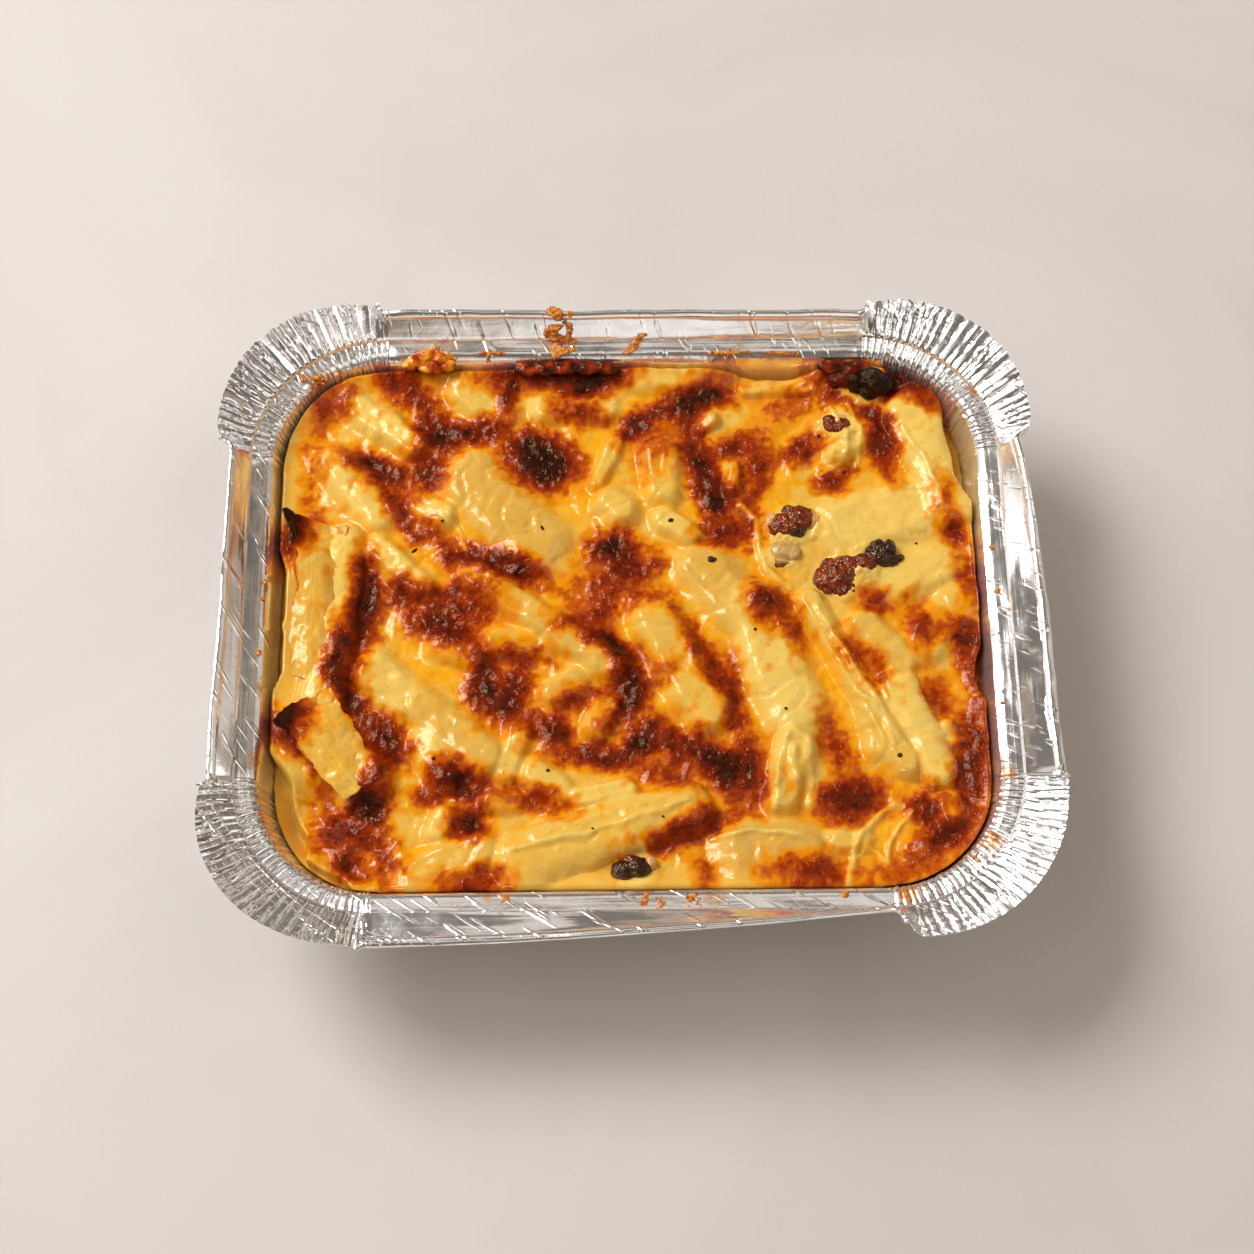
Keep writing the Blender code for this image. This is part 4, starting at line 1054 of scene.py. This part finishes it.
ROUGHNESS = {"meat_bit_near": 0.5, "mushroom_bit": 0.4, "meat_bit_covered": 0.6, "charred_bit": 1.3}
SUNK_BY = {"mushroom_bit": -0.7, "meat_bit_covered": -0.8, "charred_bit": 0.2, "meat_bit_near": -0.3}
USUAL_SUNK = -0.6
FUSE_MM = 0.26
print(len(LUMPS), "bits of", sum(len(lumps) for lumps in LUMPS.values()), "lumps")

# %% [markdown]
# What a bit needs: the bake's height below it, its lumps fused into one skin, crags on the skin,
# and how much char and fat there is round each point.

# %% Helpers for the bits
def top_at(x, y):
    """Height of the bake's top near a point of the plan."""
    return float(height[np.argmin((reached_x - x) ** 2 + (reached_y - y) ** 2)])


def fused(name, lumps, base):
    """Balls at these places, fused into one closed skin."""
    clear_selection()
    balls = []
    for x, y, z, long, wide, high, *_ in lumps:
        place = on_tray(x, y, base + z)
        bpy.ops.mesh.primitive_ico_sphere_add(subdivisions=3, radius=MM, location=place,
                                              scale=(long, wide, high))
        balls.append(bpy.context.object)
    for ball in balls:
        ball.select_set(True)
    bpy.ops.object.join()
    piece = bpy.context.object
    piece.name = name
    bpy.ops.object.transform_apply(location=True, rotation=True, scale=True)
    skin = piece.modifiers.new("one_skin", "REMESH")
    skin.mode = "VOXEL"
    skin.voxel_size = FUSE_MM * MM
    bpy.ops.object.modifier_apply(modifier=skin.name)
    return piece


def roughen(piece, amount, seed):
    """Push a piece's points in and out along their normals into crags."""
    points = points_of(piece)
    crag = 0.7 * bumps(points, 3.0, seed) - 0.4 * np.abs(bumps(points, 1.8, seed + 2))
    crag = np.maximum(crag + 0.22 * bumps(points, 0.9, seed + 4) + 0.3, -0.3)
    place_points(piece, points + numbers_of(piece, "normal") * (amount * crag)[:, None])
    bpy.ops.object.shade_smooth()


def kind_shares(points, lumps, base):
    """How much of each point's neighbourhood is char and how much is fat."""
    weights = np.zeros((3, len(points)))
    for x, y, z, long, wide, high, kind in lumps:
        near = ((points[:, 0] - x) / long) ** 2 + ((points[:, 1] - y) / wide) ** 2
        near += ((points[:, 2] - base - z) / high) ** 2
        weights[kind] += np.exp(-2.2 * near)
    weights[FAT] *= 1.8
    total = weights.sum(axis=0) + 1e-6
    return weights[CHAR] / total, weights[FAT] / total


print("skins are fused at", FUSE_MM, "mm")

# %% [markdown]
# Fried meat is dark red brown with frayed fibres and paler fat. Char is nearly black, with dull
# crumbs and shiny edges. The slice of mushroom is pale and wet, with scorched spots.

# %% Finishes of the bits
meat = Finish("fried_meat", specular_ior_level=0.8, specular_tint=(1.0, 0.7, 0.46, 1.0))
strand = meat.grain(2.4, 2.0, 0.55, 1.2)
tiny = meat.grain(0.5, 1.0, 0.5)
bubbles = meat.cells(0.55)
char = meat.attribute("char") + (strand - 0.5) * 0.7
fat = meat.attribute("fat") + (strand - 0.5) * 0.5
mottled = (strand + (tiny - 0.5) * 0.2).eased(0.36, 0.68)
flesh = meat.mix(mottled, colour(74, 14, 4), colour(140, 48, 10))
flesh = meat.mix(char.eased(0.45, 0.75), flesh, colour(34, 10, 5))
flesh = meat.mix(fat.eased(0.35, 0.6), flesh, colour(224, 168, 100))
meat.set(base_color=flesh, roughness=0.11 + (strand - 0.5) * 0.1,
         normal=meat.bump(strand * 0.4 - bubbles * 0.5, 0.36))

charcoal = Finish("charred_crust", specular_ior_level=0.32, specular_tint=(1.0, 0.66, 0.42, 1.0))
lump = charcoal.cells(0.9)
grit = charcoal.grain(0.45, 2.0, 0.65)
ember = charcoal.attribute("char") + (grit - 0.5) * 0.8
charcoal.set(base_color=charcoal.mix(ember.eased(0.3, 0.8), colour(92, 24, 7), colour(28, 9, 5)),
             roughness=0.14 + (grit - 0.5) * 0.1,
             normal=charcoal.bump(grit * 0.6 - lump * 0.5, 0.35))

mushroom = Finish("mushroom", specular_ior_level=0.6)
fibre = mushroom.grain(1.1, 3.0, 0.6, 0.5)
scorch = mushroom.attribute("char") * 1.2 + (1.0 - mushroom.attribute("fat")) * 0.8
scorch = scorch + (fibre - 0.5) * 0.6
flesh = mushroom.mix(fibre.eased(0.3, 0.7), colour(184, 144, 78), colour(222, 184, 108))
mushroom.set(base_color=mushroom.mix(scorch.eased(0.45, 0.8), flesh, colour(112, 34, 10)), roughness=0.1,
             normal=mushroom.bump(fibre, 0.2, 0.7))
BIT_FINISHES = {"charred_bit": (charcoal, "charred_crust"), "mushroom_bit": (mushroom, "mushroom")}
print("finishes of the bits ready")

# %% [markdown]
# Each bit stands on the bake at its first lump's place, and most are sunk in a little.

# %% Make the bits
for number, (name, lumps) in enumerate(LUMPS.items()):
    base = top_at(lumps[0][0], lumps[0][1]) + SUNK_BY.get(name, USUAL_SUNK)
    piece = fused(name + "_dressed", lumps, base)
    roughen(piece, ROUGHNESS.get(name, 1.0), 100.0 + 7.0 * number)
    char_share, fat_share = kind_shares(points_of(piece), lumps, base)
    store(piece, "char", char_share)
    store(piece, "fat", fat_share)
    look, slot = BIT_FINISHES.get(name, (meat, "fried_meat"))
    piece.data.materials.append(look.material)
    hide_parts(name)
    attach(piece, "root")
    print(name, "faces", len(piece.data.polygons), "base height", round(base, 1))

# %% [markdown]
# Two pieces of pasta have lifted out of the cheese at the left. One is a long tube with a burnt,
# open end, the other a sheet whose corner stands over the gap. Each is a flat grid stretched
# between four corners, arched, rippled and given a thickness; its inner end dips into the bake.
# A row holds the name, the corners, the arch, the sideways bow, three heats and the beige share.

# %% Raised sheets
SHEETS = (
    ("lifted_tube",
     ((-87.4, 28.4, 41.2), (-71.0, 25.4, 36.4), (-72.4, -21.0, 35.4), (-82.6, -15.0, 37.0)),
     1.5, 2.4, (1.05, 0.10, 0.36), 0.9),
    ("raised_corner",
     ((-87.4, -28.4, 41.6), (-73.8, -18.6, 38.2), (-60.4, -42.4, 35.9), (-69.8, -48.4, 37.2)),
     1.2, 0.0, (1.1, 0.04, 0.5), 0.3),
)
SHEET_THICK = 0.7
SHEET_STEPS = 100


def raised_sheet(name, corners, arch, inward, heats, beige_most):
    """One sheet between four corners. Heats: of its tip, of the rest, and the tip's reach."""
    clear_selection()
    bpy.ops.mesh.primitive_grid_add(x_subdivisions=SHEET_STEPS, y_subdivisions=SHEET_STEPS, size=1.0)
    piece = bpy.context.object
    piece.name = name
    u, v = (numbers_of(piece, "co")[:, :2] + 0.5).T
    first, second, third, fourth = (np.array(c) for c in corners)
    points = (np.outer((1 - u) * (1 - v), first) + np.outer(u * (1 - v), second)
              + np.outer(u * v, third) + np.outer((1 - u) * v, fourth))
    points[:, 0] += inward * (1 - u) * np.sin(math.pi * np.minimum(1.5 * v, 1.0))
    points[:, 2] += np.sin(math.pi * u) * (arch * ease(0.05, 0.4, v) - 1.3 * ease(0.28, 0.1, v))
    rim = np.minimum(np.minimum(u, 1 - u), np.minimum(v, 1 - v))
    ragged = ease(0.10, 0.0, rim)
    for axis, seed in ((0, 120.0), (1, 124.0)):
        torn = 1.1 * bumps(points, 3.4, seed) + 0.3 * bumps(points, 1.5, seed + 2.0)
        points[:, axis] += ragged * torn
    ripple = 0.5 * bumps(points, 5.0, 128.0) + 0.2 * bumps(points, 1.8, 132.0)
    points[:, 2] += ripple + 0.3 * ragged * (v < 0.5)
    tip_heat, far_heat, reach_share = heats
    heat_here = far_heat + tip_heat * ease(reach_share, 0.05, np.hypot(0.5 * u, v))
    heat_here += 0.25 * bumps(points, 3.0, 136.0) * ease(1.0, 0.2, v)
    heat_here += 0.4 * ease(0.08, 0.0, u) * ease(0.9, 0.3, v)
    fibres = np.column_stack((9.0 * u * 1.6, 1.2 * v, np.zeros(len(u))))
    place_points(piece, points)
    store(piece, "toast_and_edge_shade", heat_here + 0.2 * ease(0.86, 1.0, u))
    store(piece, "golden", 0.35 + 0.4 * bumps(fibres, 0.9, 140.0))
    store(piece, "beige", beige_most * (0.55 + 0.6 * bumps(fibres, 0.6, 142.0)))
    store(piece, "cream", 0.35 * ease(0.0, 0.6, bumps(fibres, 0.7, 144.0)))
    thicken(piece, SHEET_THICK, -1.0)
    bpy.ops.object.shade_smooth()
    piece.data.materials.append(cheese.material)
    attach(piece, "root")
    print(name, "faces", len(piece.data.polygons))


for row in SHEETS:
    raised_sheet(*row)

# %% [markdown]
# Where the bake bubbled over, crumbs of crust stuck to the foil. Flat balls are scattered round
# each spot, which is a place, a spread and a count, and along each streak, which is two ends and
# half a width. They are then fused into crusts.

# %% Crumbs and streaks
CRUMB_SPOTS = (
    (-19.8, 78.8, 1.2, 3), (-15.3, 80.6, 1.4, 4), (1.2, 74.3, 1.0, 3), (-53.2, 73.6, 1.8, 5),
    (-50.6, 74.6, 1.8, 6), (-47.5, 73.6, 1.6, 5), (-45.6, 72.1, 1.4, 4), (-75.3, 62.9, 0.9, 4),
    (-73.1, 64.1, 0.9, 4), (-77.2, 60.9, 0.8, 3), (-83.3, 67.5, 1.0, 4), (-79.6, 66.6, 0.8, 3),
    (-90.9, 9.6, 0.7, 3), (-91.2, 4.6, 0.7, 3), (-91.6, -10.0, 0.5, 2), (-29.8, -74.5, 0.9, 4),
    (3.3, -74.9, 1.2, 5), (7.3, -75.9, 1.4, 5), (14.0, -75.1, 1.3, 5), (16.3, -76.2, 0.8, 3),
    (50.7, -74.5, 0.5, 2), (92.5, 16.4, 0.6, 2), (92.8, 3.9, 0.5, 2), (91.6, -25.7, 0.5, 2),
    (82.6, -65.6, 0.9, 4), (87.0, -60.1, 0.8, 3),
)
STREAKS = (
    (-20.2, 78.4, -13.2, 77.4, 0.9), (-17.8, 82.6, -17.2, 74.4, 1.4), (-14.0, 75.2, -18.6, 74.4, 1.1),
    (-13.8, 80.2, -14.4, 76.6, 0.7), (0.6, 74.2, 5.2, 78.4, 0.9), (3.8, 76.4, 2.0, 74.1, 0.8),
    (-37.6, 74.2, -31.2, 74.0, 0.5), (-35.6, 72.4, -35.0, 74.8, 0.45), (22.6, 73.6, 33.2, 73.9, 0.5),
    (27.5, 72.6, 27.9, 74.6, 0.45), (37.2, 73.7, 46.0, 73.2, 0.45), (-52.6, 74.8, -46.4, 73.6, 1.2),
)
foil_high = foil_points[foil_points[:, 2] > 30.0]


def foil_at(x, y):
    """Height of the foil's upper face near a point of the plan."""
    away = np.hypot(foil_high[:, 0] - x, foil_high[:, 1] - y)
    return float(foil_high[away < max(0.5, away.min() + 0.05)][:, 2].max())


toasted_crumb = Finish("toasted_crumb", specular_ior_level=0.5)
mottle = toasted_crumb.grain(1.0, 3.0, 0.6)
amber = toasted_crumb.mix(mottle.eased(0.35, 0.65), colour(230, 152, 48), colour(160, 70, 12))
toasted_crumb.set(base_color=amber, roughness=0.25 + (mottle - 0.5) * 0.2,
                  normal=toasted_crumb.bump(toasted_crumb.grain(0.5), 0.3, 0.8))

chance = random.Random(41)
smears = []
for spot_x, spot_y, spread_mm, count in CRUMB_SPOTS:
    for _ in range(2 * count):
        x = spot_x + chance.gauss(0.0, 0.55 * spread_mm)
        y = spot_y + chance.gauss(0.0, 0.55 * spread_mm)
        size = chance.uniform(0.25, 0.5) + 0.75 * chance.random() ** 4
        flat_high = 0.16 + 0.1 * size
        smears.append((x, y, foil_at(x, y), size, size * chance.uniform(0.5, 1.0), flat_high))
for start_x, start_y, end_x, end_y, half_wide in STREAKS:
    steps = math.ceil(math.hypot(end_x - start_x, end_y - start_y) / (0.45 * half_wide))
    for step in range(steps + 1):
        x = start_x + (end_x - start_x) * step / steps + chance.gauss(0.0, 0.25 * half_wide)
        y = start_y + (end_y - start_y) * step / steps + chance.gauss(0.0, 0.25 * half_wide)
        size = half_wide * chance.uniform(0.75, 1.25)
        smears.append((x, y, foil_at(x, y), size, size * chance.uniform(0.6, 1.0), 0.3))
crust = fused("foil_crumbs", smears, 0.0)
roughen(crust, 0.2, 170.0)
crust.data.materials.append(toasted_crumb.material)
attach(crust, "root")
print("foil_crumbs faces", len(crust.data.polygons))

# %% [markdown]
# Along the far side the crust has climbed over the lip, at the left onto the shelf. Lumps are
# fused and roughened like the bits, and take the cheese's own finish.

# %% Crust over the lip
OVER_LIP = (
    (-54.2, 72.2, 39.6, 2.4, 1.8, 0.9), (-51.2, 73.4, 40.0, 2.4, 1.7, 1.0),
    (-48.2, 72.6, 39.8, 2.2, 1.9, 1.0), (-46.0, 71.0, 39.0, 2.0, 1.7, 1.0),
    (-56.4, 71.0, 38.9, 1.8, 1.4, 0.8), (-50.4, 70.6, 38.9, 3.4, 1.8, 1.0),
    (-25.0, 70.3, 38.2, 3.6, 2.1, 0.9), (-20.0, 70.4, 38.4, 3.8, 2.2, 1.0),
    (-15.0, 70.6, 38.5, 4.2, 2.3, 1.0), (-9.6, 70.5, 38.4, 3.6, 2.1, 0.9),
    (-4.4, 70.3, 38.2, 3.4, 1.9, 0.9), (55.0, 70.0, 38.2, 4.4, 2.1, 1.0),
    (61.0, 69.8, 38.2, 3.6, 2.0, 1.0),
)
climbed = fused("crust_over_lip", OVER_LIP, 0.0)
roughen(climbed, 0.4, 180.0)
climbed_points = points_of(climbed)
darker = 0.45 * ease(-40.0, -20.0, climbed_points[:, 0])
store(climbed, "toast_and_edge_shade", 0.4 + 0.5 * bumps(climbed_points, 2.6, 184.0) + darker)
store(climbed, "golden", 0.6 + 0.3 * bumps(climbed_points, 2.0, 186.0))
store(climbed, "beige", np.zeros(len(climbed_points)))
store(climbed, "cream", np.zeros(len(climbed_points)))
climbed.data.materials.append(cheese.material)
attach(climbed, "root")
print("crust_over_lip faces", len(climbed.data.polygons))

# %% [markdown]
# Seeds and burst bubbles are small balls pushed out of shape, stretched and turned a little
# differently each. A row is a place and two half lengths.

# %% Seeds
SEEDS = (
    (21.7, 14.7, 1.15, 0.75), (31.9, -5.0, 0.4, 0.4), (38.8, -26.0, 0.4, 0.4), (56.6, 40.8, 0.45, 0.4),
    (-47.8, -37.8, 0.4, 0.4), (-19.8, -41.2, 0.5, 0.4), (-46.8, 26.8, 0.4, 0.35), (18.9, 25.8, 0.45, 0.4),
    (11.5, 25.8, 0.7, 0.5), (-21.3, 24.2, 0.7, 0.35), (50.6, 51.3, 0.4, 0.4), (-54.0, 19.6, 0.9, 0.3),
    (66.1, -38.6, 0.6, 0.5), (-9.0, -57.0, 0.35, 0.3), (8.0, -54.0, 0.3, 0.3), (74.0, 20.0, 0.35, 0.3),
)
SEED_HIGH = 0.35


def pebble(x, y, z, half_long, half_wide, half_high, seed):
    """One small ball pushed out of shape."""
    bpy.ops.mesh.primitive_ico_sphere_add(subdivisions=2 if half_long < 0.6 else 3, radius=MM,
                                          location=on_tray(x, y, z))
    ball = bpy.context.object
    bpy.ops.object.transform_apply(location=True)
    points = points_of(ball)
    off = points - np.array((x, y, z))
    off *= (1.0 + 0.45 * bumps(off, 0.8, seed))[:, None]
    turn = seed * 2.4
    across = off[:, 0] * half_long
    along = off[:, 1] * half_wide
    points[:, 0] = x + across * math.cos(turn) - along * math.sin(turn)
    points[:, 1] = y + across * math.sin(turn) + along * math.cos(turn)
    points[:, 2] = z + off[:, 2] * half_high
    place_points(ball, points)
    return ball


dark_seed = Finish("dark_seed", specular_ior_level=0.25)
skin = dark_seed.grain(0.5, 2.0, 0.6)
dark_seed.set(base_color=dark_seed.mix(skin.eased(0.4, 0.7), colour(44, 16, 6), colour(96, 40, 10)),
              roughness=0.25, normal=dark_seed.bump(skin, 0.2, 0.7))

clear_selection()
seed_balls = []
for x, y, long, wide in SEEDS:
    seed_balls.append(pebble(x, y, top_at(x, y) + 0.1, long, wide, SEED_HIGH, 3.0 * x + y))
clear_selection()
for ball in seed_balls:
    ball.select_set(True)
bpy.context.view_layer.objects.active = seed_balls[0]
bpy.ops.object.join()
seeds = bpy.context.object
seeds.name = "seeds"
bpy.ops.object.shade_smooth()
seeds.data.materials.append(dark_seed.material)
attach(seeds, "root")
print("seeds faces", len(seeds.data.polygons))
